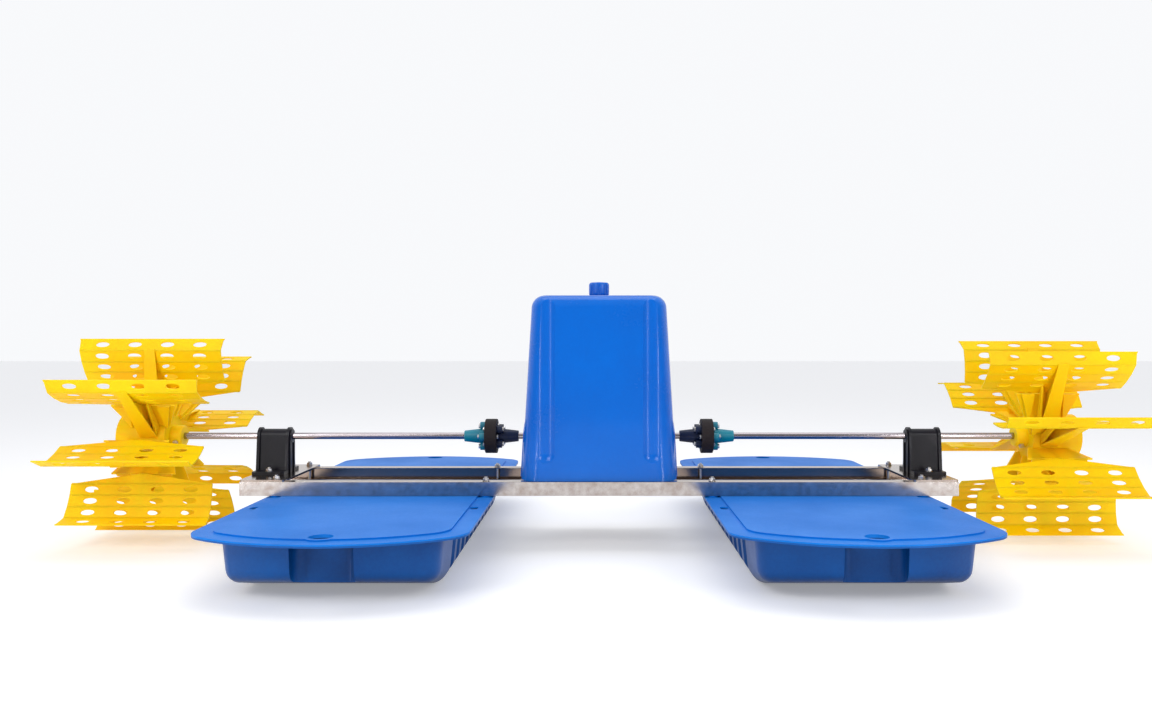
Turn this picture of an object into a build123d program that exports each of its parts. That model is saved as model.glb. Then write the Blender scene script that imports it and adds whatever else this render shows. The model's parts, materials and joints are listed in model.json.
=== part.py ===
from build123d import *
import math
import os

# Two-wheel paddle aerator on two floats, in millimetres.
# X runs across the machine along the drive shaft, Y from front to rear, Z up.
# The origin is at the middle of the machine, on the surface that the floats stand on.

# Running gear
shaft_height = 312.0
shaft_radius = 10.0
stub_radius = 9.5
fit_gap = 0.05

# Floats
float_centre = 628.0
float_width = 650.0
float_length = 1650.0
float_corner = 90.0
crown_radius = 510.0
rim_thickness = 4.0
panel_inset = 45.0
panel_rise = 4.0
hull_height = 145.0
hull_inset = 62.0
hull_draft = 6.0
hull_wall = 4.0
front_wall_depth = 88.0
bow_slope_length = 215.0
hull_rounding = 36.0
rib_pitch = 92.0
rib_count = 11
rib_width = 34.0
rib_depth = 12.0
bow_recess_width = 146.0
bow_recess_depth = 54.0
mooring_radius = 28.0
mooring_inset = 71.0
mooring_pad = 10.0
rim_slot_length = 40.0
rim_slot_width = 22.0
rim_slot_inset = 32.0
rim_slot_reach = 354.0
float_bolt_inset = 23.0
bolt_pad_radius = 19.0

# Frame
beam_outer = 178.0
beam_half_length = 1030.0
beam_height = 40.0
beam_flange = 40.0
beam_wall = 3.0
beam_bolt_inset = 20.0
end_plate_width = 130.0
end_plate_thickness = 6.0

# Bearing blocks
block_centre = 985.0
block_width = 96.0
block_base_depth = 156.0
block_base_thickness = 9.0
block_ear_thickness = 9.0
block_ear_radius = 27.0
block_core_radius = 22.0
block_foot_half = 38.0
block_core_foot_half = 31.0
block_bolt_reach = 59.0
block_rib_offset = 18.0
block_rib_width = 7.0
block_rib_proud = 4.0
bush_radius = 16.0
bush_collar_wall = 4.0
bush_collar_length = 5.0

# Shaft couplings
disc_inner_face = 309.0
disc_thickness = 36.0
disc_radius = 52.0
disc_bore = 20.0
lobe_thickness = 16.0
lobe_radius = 12.0
lobe_pitch_radius = 31.0
lobe_count = 4
hub_core_radius = 22.0
hub_boss_length = 48.0
hub_boss_radius = 16.5

# Paddle wheels
wheel_centre = 1341.0
wheel_radius = 300.0
blade_count = 8
blade_width = 425.0
blade_thickness = 4.0
band_lengths = (38.0, 35.0, 34.0, 33.0)
band_leans = (33.0, -8.0, -17.0, -25.0)
tongue_length = 31.0
lip_flare = 5.0
hole_length = 41.0
hole_width = 17.0
hole_columns = 4
hole_pitch = 97.0
drum_radius = 66.0
drum_inboard = 46.0
drum_outboard = 100.0
drum_wall = 6.0
sleeve_radius = 32.0
sleeve_inboard = 80.0
sleeve_outboard = 112.0
neck_width_outer = 190.0
neck_width_inner = 116.0
neck_thickness = 6.0
arm_thickness = 8.0
arm_cap_thickness = 5.0
arm_cap_outer = 30.0
arm_cap_inner = 50.0
gusset_width = 38.0
gusset_height = 14.0
gusset_reach = 62.0
wheel_bolt_offset = 63.0
wheel_bolt_angle = 112.5
left_wheel_turn = 8.0
right_wheel_turn = 30.0

# Worm gearing, two starts on a wheel of 28 teeth
gear_module = 3.0
wheel_teeth = 28
worm_starts = 2
worm_pitch_radius = 16.0
gear_width = 22.0
gear_hub_radius = 22.0
gear_hub_reach = 22.0
tooth_gap = 0.7
flank_angle = 20.0

# Gearbox
plate_thickness = 8.0
plate_half_width = 140.0
plate_half_depth = 158.0
foot_thickness = 12.0
foot_centre = (0.0, 15.0)
foot_width = 190.0
foot_depth = 170.0
foot_bolt_x = 160.0
foot_bolt_y = 136.0
case_radius = 62.0
case_half_width = 42.0
case_bore = 49.0
worm_case_radius = 34.0
worm_case_floor = 232.0
case_top = 392.0
case_flange_radius = 62.0
case_flange_thickness = 12.0
cap_flange_thickness = 10.0
cap_boss_length = 22.0
cap_boss_radius = 34.0
cap_bolt_reach = 55.5
cap_bolt_depth = 12.0
bearing_radius = 26.0
bearing_width = 15.0
bearing_face = 44.0
seal_radius = 20.0
seal_width = 7.0
journal_radius = 12.5
gear_seat_radius = 14.0
shaft_foot = 245.0
lower_journal_radius = 7.5
lower_bearing_radius = 17.5
lower_bearing_width = 11.0
flange_bolt_pitch = 74.0

# Motor
motor_shell_radius = 68.0
motor_shell_wall = 6.0
motor_shell_height = 196.0
fin_count = 20
fin_height = 8.0
fin_thickness = 3.0
motor_flange_thickness = 14.0
motor_flange_radius = 75.0
upper_bearing_radius = 23.5
upper_bearing_width = 11.0
top_journal_radius = 8.5
top_bearing_radius = 20.0
top_bearing_width = 12.0
end_bell_thickness = 14.0
stator_bore = 38.0
air_gap = 0.6
stator_length = 120.0
winding_height = 16.0
cowl_height = 62.0
cowl_wall = 2.0
fan_radius = 54.0
fan_blades = 6
fan_hub_radius = 14.0
fan_disc_thickness = 3.0
fan_foot = 620.0
fan_top = 656.0
grille_slots = 12
grille_reach = 48.0
grille_slot_length = 34.0
grille_slot_width = 9.0
rotor_shaft_radius = 10.0
box_foot = 470.0
box_height = 90.0
box_width = 80.0
box_front = -62.0
box_sector = 40.0
box_lid_thickness = 4.0
gland_place = (-40.0, 500.0)
gland_radius = 12.0
gland_length = 26.0

# Motor cover
cover_base_width = 456.0
cover_base_depth = 330.0
cover_top_width = 394.0
cover_top_depth = 292.0
cover_top = 735.0
cover_base_corner = 62.0
cover_top_corner = 56.0
cover_brow = 38.0
cover_wall = 4.0
flute_centre = 154.0
flute_radius = 42.0
flute_depth = 12.0
flute_foot = 234.0
arch_width = 120.0
arch_rise = 48.0
arch_proud = 6.0
shaft_slot_width = 40.0
knob_radius = 33.0
knob_height = 48.0
knob_flutes = 8

# Fasteners, each as shank radius, head radius and head height
m10 = (5.0, 9.0, 6.5)
m8 = (4.0, 7.4, 5.5)
m6 = (3.0, 5.6, 4.0)
hole_gap = 0.5
thread_end = 4.0

# Derived heights and places
rim_bottom = hull_height + rim_thickness
rim_top = rim_bottom + rim_thickness
beam_bottom = rim_top + panel_rise
beam_top = beam_bottom + beam_height
beam_bolt_y = beam_outer - beam_bolt_inset
plate_bolt_y = beam_outer - beam_flange + 12
plate_bolt_x = plate_half_width - 20
end_plate_top = beam_top + end_plate_thickness
end_plate_centre = beam_half_length - end_plate_width / 2
float_bolt_reach = float_width / 2 - float_bolt_inset
inner_bolt_x = float_centre - float_bolt_reach
outer_bolt_x = float_centre + float_bolt_reach
mooring_y = float_length / 2 - mooring_inset
rim_slot_x = float_width / 2 - rim_slot_inset
disc_outer_face = disc_inner_face + disc_thickness
plate_top = beam_top + plate_thickness
foot_top = plate_top + foot_thickness
gear_pitch_radius = gear_module * wheel_teeth / 2
gear_tip_radius = gear_pitch_radius + gear_module
gear_root_radius = gear_pitch_radius - 1.25 * gear_module
worm_tip_radius = worm_pitch_radius + gear_module
worm_root_radius = worm_pitch_radius - 1.25 * gear_module
worm_lead = math.pi * gear_module * worm_starts
motor_y = gear_pitch_radius + worm_pitch_radius
cap_face = case_half_width + cap_flange_thickness
cap_end = cap_face + cap_boss_length
motor_base = case_top + motor_flange_thickness
shell_top = motor_base + motor_shell_height
bell_top = shell_top + end_bell_thickness
cowl_top = bell_top + cowl_height
cowl_radius = motor_shell_radius + fin_height

os.makedirs("parts", exist_ok=True)


def save(piece, label):
    """Labels a finished sub-part and writes its file."""
    piece.part.label = label
    export_step(piece.part, f"parts/{label}.step")


def save_pair(piece, label):
    """Writes a sub-part of the right side and its mirror image on the left."""
    save(piece, f"{label}_right")
    with BuildPart() as twin:
        mirror(piece.part, about=Plane.YZ)
    save(twin, f"{label}_left")


def bolt_grid(centre, x_spacing, y_spacing, under_head, length, size):
    """Adds four hexagon bolts that point down, at the corners of a rectangle."""
    radius, head_radius, head_height = size
    with BuildSketch(Plane.XY.offset(under_head)) as heads:
        with Locations(centre):
            with GridLocations(x_spacing, y_spacing, 2, 2):
                RegularPolygon(head_radius, 6)
    extrude(heads.sketch, amount=head_height)
    with BuildSketch(Plane.XY.offset(under_head)) as shanks:
        with Locations(centre):
            with GridLocations(x_spacing, y_spacing, 2, 2):
                Circle(radius)
    extrude(shanks.sketch, amount=-length)


def nut_grid(centre, x_spacing, y_spacing, top, size):
    """Adds four hexagon nuts that hang under a face, at the corners of a rectangle."""
    radius, head_radius, head_height = size
    with BuildSketch(Plane.XY.offset(top)) as rings:
        with Locations(centre):
            with GridLocations(x_spacing, y_spacing, 2, 2):
                RegularPolygon(head_radius, 6)
                Circle(radius + fit_gap, mode=Mode.SUBTRACT)
    extrude(rings.sketch, amount=-head_height)


# Floats


def float_outline(inset):
    """Draws the plan outline of a float, smaller by the inset."""
    half_width = float_width / 2 - inset
    half_length = float_length / 2 - inset
    radius = crown_radius - inset
    shoulder = half_length - radius + math.sqrt(radius**2 - half_width**2)
    with BuildLine() as outline:
        Line((-half_width, -shoulder), (-half_width, shoulder))
        ThreePointArc((-half_width, shoulder), (0, half_length), (half_width, shoulder))
        Line((half_width, shoulder), (half_width, -shoulder))
        ThreePointArc((half_width, -shoulder), (0, -half_length), (-half_width, -shoulder))
    make_face(outline.edges())
    fillet(vertices(), max(float_corner - inset / 2, 1.0))


def rim_holes():
    """Draws the mooring holes, rim slots and bolt holes of a float's rim."""
    with GridLocations(0, 2 * mooring_y, 1, 2):
        Circle(mooring_radius)
    with GridLocations(2 * rim_slot_x, 2 * rim_slot_reach, 2, 2):
        SlotOverall(rim_slot_length, rim_slot_width, 90)
    with GridLocations(2 * float_bolt_reach, 2 * beam_bolt_y, 2, 2):
        Circle(m10[0] + hole_gap)


def bow_lands():
    """Cuts the lands that carry the mooring holes out of an inner outline."""
    with GridLocations(0, float_length - 2 * hull_inset, 1, 2):
        RectangleRounded(
            bow_recess_width + 2 * hull_wall,
            2 * (bow_recess_depth + hull_wall),
            bow_recess_depth / 2,
            mode=Mode.SUBTRACT,
        )


def hull_form(shrink, floor, rounding):
    """Makes the moulded body of a hull, or its cavity when it shrinks by the wall."""
    half_length = float_length / 2 - hull_inset
    wall_foot = hull_height - front_wall_depth
    bow_foot = half_length - bow_slope_length
    with BuildPart() as form:
        with BuildSketch(Plane.XY.offset(hull_height)):
            float_outline(hull_inset + shrink)
        extrude(amount=floor - hull_height, taper=hull_draft)
        with BuildSketch(Plane.YZ):
            with BuildLine():
                Polyline(
                    (-half_length, hull_height),
                    (-half_length, floor + wall_foot),
                    (-bow_foot, floor),
                    (bow_foot, floor),
                    (half_length, floor + wall_foot),
                    (half_length, hull_height),
                    close=True,
                )
            make_face()
            fillet(vertices().group_by(Axis.Y)[0], bow_slope_length)
        extrude(amount=float_width, both=True, mode=Mode.INTERSECT)
        lower = [face for face in form.faces() if face.normal_at().Z < -0.9]
        counts = {}
        for face in lower:
            for edge in face.edges():
                counts.setdefault(edge, 0)
                counts[edge] += 1
        fillet([edge for edge, count in counts.items() if count == 1], rounding)
        with BuildSketch(Plane.XY):
            with GridLocations(0, 2 * (half_length - shrink), 1, 2):
                RectangleRounded(
                    bow_recess_width + 2 * shrink, 2 * bow_recess_depth, bow_recess_depth / 2
                )
        extrude(amount=hull_height, mode=Mode.SUBTRACT)
    return form.part


def float_hull():
    """Makes one open hull with its rim flange and corrugated sides."""
    half_width = float_width / 2 - hull_inset
    cavity = hull_form(hull_wall + rib_depth, hull_wall, hull_rounding - rib_depth - hull_wall)
    with BuildPart() as hull:
        add(hull_form(0, 0, hull_rounding))
        for side in (-1, 1):
            with BuildSketch(Plane.XY.offset(hull_height)):
                with Locations((side * half_width, 0)):
                    with GridLocations(0, rib_pitch, 1, rib_count):
                        Polygon(
                            (-side * rib_depth, -rib_width / 2),
                            (0, -rib_width / 2 - rib_depth),
                            (side * rib_depth, -rib_width / 2 - rib_depth),
                            (side * rib_depth, rib_width / 2 + rib_depth),
                            (0, rib_width / 2 + rib_depth),
                            (-side * rib_depth, rib_width / 2),
                            align=None,
                        )
            lean = Vector(-side * math.tan(math.radians(hull_draft)), 0, -1).normalized()
            extrude(amount=2 * hull_height, dir=lean, mode=Mode.SUBTRACT)
        with BuildSketch(Plane.XY.offset(hull_height)):
            float_outline(0)
        extrude(amount=rim_thickness)
        with BuildSketch(Plane.XY.offset(hull_height)):
            rim_holes()
        extrude(amount=rim_thickness, mode=Mode.SUBTRACT)
        add(cavity, mode=Mode.SUBTRACT)
        with BuildSketch(Plane.XY.offset(hull_height)):
            float_outline(hull_inset + hull_wall + rib_depth)
            bow_lands()
        extrude(amount=rim_thickness, mode=Mode.SUBTRACT)
    return hull


def float_deck():
    """Makes one float's deck, with its raised panel and bolt pads."""
    with BuildPart() as deck:
        with BuildSketch(Plane.XY.offset(rim_bottom)):
            float_outline(0)
        extrude(amount=rim_thickness)
        with BuildSketch(Plane.XY.offset(rim_top)):
            float_outline(panel_inset)
            with GridLocations(2 * float_bolt_reach, 2 * beam_bolt_y, 2, 2):
                Circle(bolt_pad_radius)
            with GridLocations(0, 2 * mooring_y, 1, 2):
                Circle(mooring_radius + mooring_pad)
        extrude(amount=panel_rise)
        with BuildSketch(Plane.XY.offset(rim_bottom)):
            float_outline(hull_inset + hull_wall + rib_depth)
            bow_lands()
        extrude(amount=panel_rise, mode=Mode.SUBTRACT)
        with BuildSketch(Plane.XY.offset(rim_bottom)):
            rim_holes()
        extrude(amount=rim_thickness + panel_rise, mode=Mode.SUBTRACT)
    return deck


def place_on_floats(piece, name):
    """Copies a float piece to both sides and writes the two."""
    for side, label in ((-1, "left"), (1, "right")):
        with BuildPart() as placed:
            with Locations((side * float_centre, 0, 0)):
                add(piece.part)
        save(placed, f"{name}_{label}")


place_on_floats(float_hull(), "float_hull")
place_on_floats(float_deck(), "float_deck")


# Frame


def channel_beam(side):
    """Makes a channel beam, open to the middle, along the front (-1) or the rear (1)."""
    web = side * beam_outer
    inner = side * (beam_outer - beam_flange)
    skin = side * beam_wall
    with BuildPart() as beam:
        with BuildSketch(Plane.YZ):
            with BuildLine():
                Polyline(
                    (web, beam_bottom),
                    (web, beam_top),
                    (inner, beam_top),
                    (inner, beam_top - beam_wall),
                    (web - skin, beam_top - beam_wall),
                    (web - skin, beam_bottom + beam_wall),
                    (inner, beam_bottom + beam_wall),
                    (inner, beam_bottom),
                    close=True,
                )
            make_face()
        extrude(amount=beam_half_length, both=True)
        with BuildSketch(Plane.XY.offset(beam_bottom)):
            with Locations((0, side * beam_bolt_y)):
                for reach in (inner_bolt_x, outer_bolt_x):
                    with GridLocations(2 * reach, 0, 2, 1):
                        Circle(m10[0] + hole_gap)
        extrude(amount=beam_height, mode=Mode.SUBTRACT)
        with BuildSketch(Plane.XY.offset(beam_top)):
            with Locations((0, side * plate_bolt_y)):
                with GridLocations(2 * plate_bolt_x, 0, 2, 1):
                    Circle(m8[0] + hole_gap)
        extrude(amount=-beam_wall, mode=Mode.SUBTRACT)
    return beam


save(channel_beam(-1), "front_beam")
save(channel_beam(1), "rear_beam")

with BuildPart() as end_plate:
    with BuildSketch(Plane.XY.offset(beam_top)):
        with Locations((end_plate_centre, 0)):
            Rectangle(end_plate_width, 2 * beam_outer)
        fillet(vertices(), 8)
        with Locations((outer_bolt_x, 0)):
            with GridLocations(0, 2 * beam_bolt_y, 1, 2):
                Circle(m10[0] + hole_gap, mode=Mode.SUBTRACT)
        with Locations((block_centre, 0)):
            with GridLocations(0, 2 * block_bolt_reach, 1, 2):
                Circle(m10[0] + hole_gap, mode=Mode.SUBTRACT)
    extrude(amount=end_plate_thickness)
save_pair(end_plate, "end_plate")

with BuildPart() as float_bolts:
    for reach, seat in ((inner_bolt_x, beam_top), (outer_bolt_x, end_plate_top)):
        length = seat - hull_height + m10[2] + thread_end
        bolt_grid((0, 0), 2 * reach, 2 * beam_bolt_y, seat, length, m10)
save(float_bolts, "float_bolts")

with BuildPart() as float_nuts:
    for reach in (inner_bolt_x, outer_bolt_x):
        nut_grid((0, 0), 2 * reach, 2 * beam_bolt_y, hull_height, m10)
save(float_nuts, "float_nuts")


# Bearing blocks, built on the right and mirrored


def block_profile(crown, foot):
    """Draws a bearing block's side outline: a crown round the shaft on a wider foot."""
    Polygon(
        (-foot, end_plate_top),
        (-crown, shaft_height),
        (crown, shaft_height),
        (foot, end_plate_top),
        align=None,
    )
    with Locations((0, shaft_height)):
        Circle(crown)


with BuildPart() as bearing_block:
    block_inner = block_centre - block_width / 2
    block_outer = block_centre + block_width / 2
    with BuildSketch(Plane.YZ.offset(block_inner)):
        block_profile(block_ear_radius, block_foot_half)
    extrude(amount=block_ear_thickness)
    with BuildSketch(Plane.YZ.offset(block_outer - block_ear_thickness)):
        block_profile(block_ear_radius, block_foot_half)
    extrude(amount=block_ear_thickness)
    with BuildSketch(Plane.YZ.offset(block_inner)):
        block_profile(block_core_radius, block_core_foot_half)
    extrude(amount=block_width)
    with BuildSketch(Plane.XY.offset(end_plate_top)):
        with Locations((block_centre, 0)):
            RectangleRounded(block_width, block_base_depth, 10)
    extrude(amount=block_base_thickness)
    with BuildSketch(Plane.YZ.offset(block_inner)):
        with Locations((-block_rib_offset, 0), (block_rib_offset, 0)):
            with Locations((0, (end_plate_top + shaft_height) / 2)):
                Rectangle(block_rib_width, shaft_height - end_plate_top)
    extrude(amount=-block_rib_proud)
    with BuildSketch(Plane.YZ.offset(block_inner)):
        with Locations((0, shaft_height)):
            Circle(bush_radius + bush_collar_wall)
    extrude(amount=-bush_collar_length)
    with BuildSketch(Plane.YZ.offset(block_inner - bush_collar_length)):
        with Locations((0, shaft_height)):
            Circle(bush_radius)
    extrude(amount=block_width + bush_collar_length, mode=Mode.SUBTRACT)
    with BuildSketch(Plane.XY.offset(end_plate_top)):
        with Locations((block_centre, 0)):
            with GridLocations(0, 2 * block_bolt_reach, 1, 2):
                Circle(m10[0] + hole_gap)
    extrude(amount=block_base_thickness, mode=Mode.SUBTRACT)
save_pair(bearing_block, "bearing_block")

with BuildPart() as bearing_bush:
    with BuildSketch(Plane.YZ.offset(block_inner - bush_collar_length)):
        with Locations((0, shaft_height)):
            Circle(bush_radius - fit_gap)
            Circle(shaft_radius + fit_gap, mode=Mode.SUBTRACT)
    extrude(amount=block_width + bush_collar_length)
save_pair(bearing_bush, "bearing_bush")

block_bolt_seat = end_plate_top + block_base_thickness
with BuildPart() as block_bolts:
    length = block_bolt_seat - beam_top + m10[2] + thread_end
    bolt_grid((0, 0), 2 * block_centre, 2 * block_bolt_reach, block_bolt_seat, length, m10)
save(block_bolts, "block_bolts")

with BuildPart() as block_nuts:
    nut_grid((0, 0), 2 * block_centre, 2 * block_bolt_reach, beam_top, m10)
save(block_nuts, "block_nuts")


# Drive line: shaft couplings, side shafts and paddle wheels


def lobed_flange(face, turn, bore):
    """Adds a hub's four-lobed flange, with a bolt hole in each lobe."""
    with BuildSketch(Plane.YZ.offset(face)) as flange:
        with Locations((0, shaft_height)):
            Circle(hub_core_radius)
            with PolarLocations(lobe_pitch_radius, lobe_count, start_angle=turn):
                Circle(lobe_radius)
            with PolarLocations(lobe_pitch_radius, lobe_count, start_angle=turn):
                Circle(m8[0] + fit_gap, mode=Mode.SUBTRACT)
            Circle(bore, mode=Mode.SUBTRACT)
    extrude(flange.sketch, amount=lobe_thickness)


def hub_boss(face, end, bore):
    """Adds a hub's tapered boss, from its flange face to its small end."""
    with BuildSketch(Plane.XZ) as section:
        with BuildLine():
            Polyline(
                (face, shaft_height + bore),
                (face, shaft_height + hub_core_radius),
                (end, shaft_height + hub_boss_radius),
                (end, shaft_height + bore),
                close=True,
            )
        make_face()
    revolve(section.sketch, axis=Axis((0, 0, shaft_height), (1, 0, 0)))


with BuildPart() as outer_hub:
    lobed_flange(disc_outer_face, 0, shaft_radius + fit_gap)
    boss_face = disc_outer_face + lobe_thickness
    hub_boss(boss_face, boss_face + hub_boss_length, shaft_radius + fit_gap)
save_pair(outer_hub, "outer_hub")

with BuildPart() as inner_hub:
    lobed_flange(disc_inner_face - lobe_thickness, 180 / lobe_count, stub_radius + fit_gap)
    boss_face = disc_inner_face - lobe_thickness
    hub_boss(boss_face, boss_face - hub_boss_length, stub_radius + fit_gap)
save_pair(inner_hub, "inner_hub")

with BuildPart() as rubber_disc:
    with BuildSketch(Plane.YZ.offset(disc_inner_face)):
        with Locations((0, shaft_height)):
            Circle(disc_radius)
            Circle(disc_bore, mode=Mode.SUBTRACT)
            with PolarLocations(lobe_pitch_radius, 2 * lobe_count):
                Circle(m8[0] + fit_gap, mode=Mode.SUBTRACT)
    extrude(amount=disc_thickness)
save_pair(rubber_disc, "rubber_disc")

with BuildPart() as coupling_bolts:
    for turn, seat, way in (
        (0, disc_outer_face + lobe_thickness, 1),
        (180 / lobe_count, disc_inner_face - lobe_thickness, -1),
    ):
        grip = lobe_thickness + disc_thickness
        with BuildSketch(Plane.YZ.offset(seat)):
            with Locations((0, shaft_height)):
                with PolarLocations(lobe_pitch_radius, lobe_count, start_angle=turn):
                    RegularPolygon(m8[1], 6)
        extrude(amount=way * m8[2])
        with BuildSketch(Plane.YZ.offset(seat)):
            with Locations((0, shaft_height)):
                with PolarLocations(lobe_pitch_radius, lobe_count, start_angle=turn):
                    Circle(m8[0])
        extrude(amount=-way * grip)
        with BuildSketch(Plane.YZ.offset(seat - way * grip)):
            with Locations((0, shaft_height)):
                with PolarLocations(lobe_pitch_radius, lobe_count, start_angle=turn):
                    RegularPolygon(m8[1], 6)
        extrude(amount=-way * m8[2])
save_pair(coupling_bolts, "coupling_bolts")


def blade_profile():
    """Lists a blade's centre line in its own plane, from the outer lip inwards.

    Each point is a radius from the shaft and an offset towards the blade's back.
    """
    radius = wheel_radius - blade_thickness / 2
    offset = 0.0
    points = [(radius, offset)]
    lengths = band_lengths + (tongue_length,)
    leans = band_leans + band_leans[-1:]
    for length, lean in zip(lengths, leans):
        radius -= length * math.cos(math.radians(lean))
        offset += length * math.sin(math.radians(lean))
        points.append((radius, offset))
    return points


def band_plane(outer, inner):
    """Gives the plane of the strip between two such points, facing the blade's back."""
    (r1, n1), (r2, n2) = outer, inner
    middle = (0, -(n1 + n2) / 2, (r1 + r2) / 2)
    return Plane(origin=middle, x_dir=(1, 0, 0), z_dir=(0, r2 - r1, n2 - n1))


def perforation():
    """Draws one long hole with eight straight sides."""
    end = hole_width / 6
    flat = hole_length / 4
    Polygon(
        (-hole_length / 2, -end),
        (-flat, -hole_width / 2),
        (flat, -hole_width / 2),
        (hole_length / 2, -end),
        (hole_length / 2, end),
        (flat, hole_width / 2),
        (-flat, hole_width / 2),
        (-hole_length / 2, end),
        align=None,
    )


def blade_sheet(profile):
    """Makes one folded and perforated blade that stands straight up from the axis."""
    half_width = blade_width / 2
    inner_corner = profile[-2][0]
    with BuildPart() as sheet:
        with BuildSketch(Plane.YZ):
            for outer, inner in zip(profile, profile[1:]):
                middle = (-(outer[1] + inner[1]) / 2, (outer[0] + inner[0]) / 2)
                lean = math.degrees(math.atan2(outer[0] - inner[0], inner[1] - outer[1]))
                with Locations(middle):
                    SlotCenterToCenter(math.dist(outer, inner), blade_thickness, lean)
        extrude(amount=half_width + lip_flare, both=True)
        with BuildSketch(Plane.XZ):
            with BuildLine():
                Polyline(
                    (-half_width - lip_flare, wheel_radius + 1),
                    (half_width + lip_flare, wheel_radius + 1),
                    (half_width, wheel_radius - 2 * lip_flare),
                    (half_width - lip_flare, inner_corner),
                    (0, profile[-1][0]),
                    (-half_width + lip_flare, inner_corner),
                    (-half_width, wheel_radius - 2 * lip_flare),
                    close=True,
                )
            make_face()
        extrude(amount=wheel_radius, both=True, mode=Mode.INTERSECT)
        for outer, inner in zip(profile, profile[1:-1]):
            with BuildSketch(band_plane(outer, inner)):
                with GridLocations(hole_pitch, 0, hole_columns, 1):
                    perforation()
            extrude(amount=blade_thickness, both=True, mode=Mode.SUBTRACT)
    return sheet.part


def strip(outer, inner, outer_width, inner_width, thickness, centre=0.0):
    """Adds a tapered flat bar between two profile points, on the side of the back."""
    half_run = math.dist(outer, inner) / 2
    with BuildSketch(band_plane(outer, inner)) as bar:
        with BuildLine():
            Polyline(
                (centre - outer_width / 2, half_run),
                (centre + outer_width / 2, half_run),
                (centre + inner_width / 2, -half_run),
                (centre - inner_width / 2, -half_run),
                close=True,
            )
        make_face()
    extrude(bar.sketch, amount=thickness)


def blade_arm(profile):
    """Makes a blade's neck, its T-section arm and the two gussets beside it."""
    crease, second, third, corner, tip = profile[1:]
    arm_head = (crease[0] + blade_thickness, crease[1] + blade_thickness / 4)
    arm_foot = (drum_radius * 0.82, drum_radius * 0.54)
    neck_foot = (drum_radius - 6, 0)
    gusset_foot = (drum_radius - 3, 0)
    with BuildPart() as arm:
        with BuildSketch(Plane.YZ):
            with BuildLine():
                Polyline(
                    *[
                        (-offset, radius)
                        for radius, offset in (
                            arm_head,
                            arm_foot,
                            (sleeve_radius - 4, 0),
                            neck_foot,
                            tip,
                            corner,
                            third,
                            second,
                            crease,
                        )
                    ],
                    close=True,
                )
            make_face()
        extrude(amount=arm_thickness / 2, both=True)
        strip(arm_head, arm_foot, arm_cap_outer, arm_cap_inner, arm_cap_thickness)
        strip(tip, neck_foot, neck_width_outer, neck_width_inner, neck_thickness)
        for centre in (-gusset_reach, gusset_reach):
            strip(tip, gusset_foot, gusset_width, gusset_width / 8, gusset_height, centre)
    return arm.part


with BuildPart() as wheel:
    wheel_profile = blade_profile()
    one_sheet = blade_sheet(wheel_profile)
    one_arm = blade_arm(wheel_profile)
    with BuildSketch(Plane.YZ.offset(-drum_inboard)):
        Circle(drum_radius)
    extrude(amount=drum_inboard + drum_outboard)
    for index in range(blade_count):
        turn = index * 360 / blade_count
        add(one_arm, rotation=(turn, 0, 0))
        add(one_sheet, rotation=(turn, 0, 0))
    with BuildSketch(Plane.YZ.offset(drum_outboard)):
        Circle(drum_radius - drum_wall)
        Circle(sleeve_radius, mode=Mode.SUBTRACT)
        with PolarLocations(drum_radius / 2, blade_count, start_angle=90):
            Rectangle(drum_radius, drum_wall, mode=Mode.SUBTRACT)
    extrude(amount=-(drum_inboard + drum_outboard - 2 * drum_wall), mode=Mode.SUBTRACT)
    with BuildSketch(Plane.YZ.offset(-sleeve_inboard)):
        Circle(sleeve_radius)
    extrude(amount=sleeve_inboard + sleeve_outboard)
    with BuildSketch(Plane.YZ.offset(-sleeve_inboard)):
        Circle(shaft_radius + fit_gap)
    extrude(amount=sleeve_inboard + sleeve_outboard, mode=Mode.SUBTRACT)
    cross = math.radians(wheel_bolt_angle)
    cross_plane = Plane(
        origin=(-wheel_bolt_offset, 0, 0),
        x_dir=(1, 0, 0),
        z_dir=(0, -math.sin(cross), math.cos(cross)),
    )
    with BuildSketch(cross_plane):
        Circle(m10[0] + fit_gap)
    extrude(amount=sleeve_radius, both=True, mode=Mode.SUBTRACT)

with BuildPart() as wheel_bolt:
    with BuildSketch(cross_plane):
        Circle(m10[0])
    extrude(amount=sleeve_radius, both=True)
    for way in (-1, 1):
        with BuildSketch(cross_plane.offset(way * sleeve_radius)):
            RegularPolygon(m10[1], 6)
        extrude(amount=way * m10[2])

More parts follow.
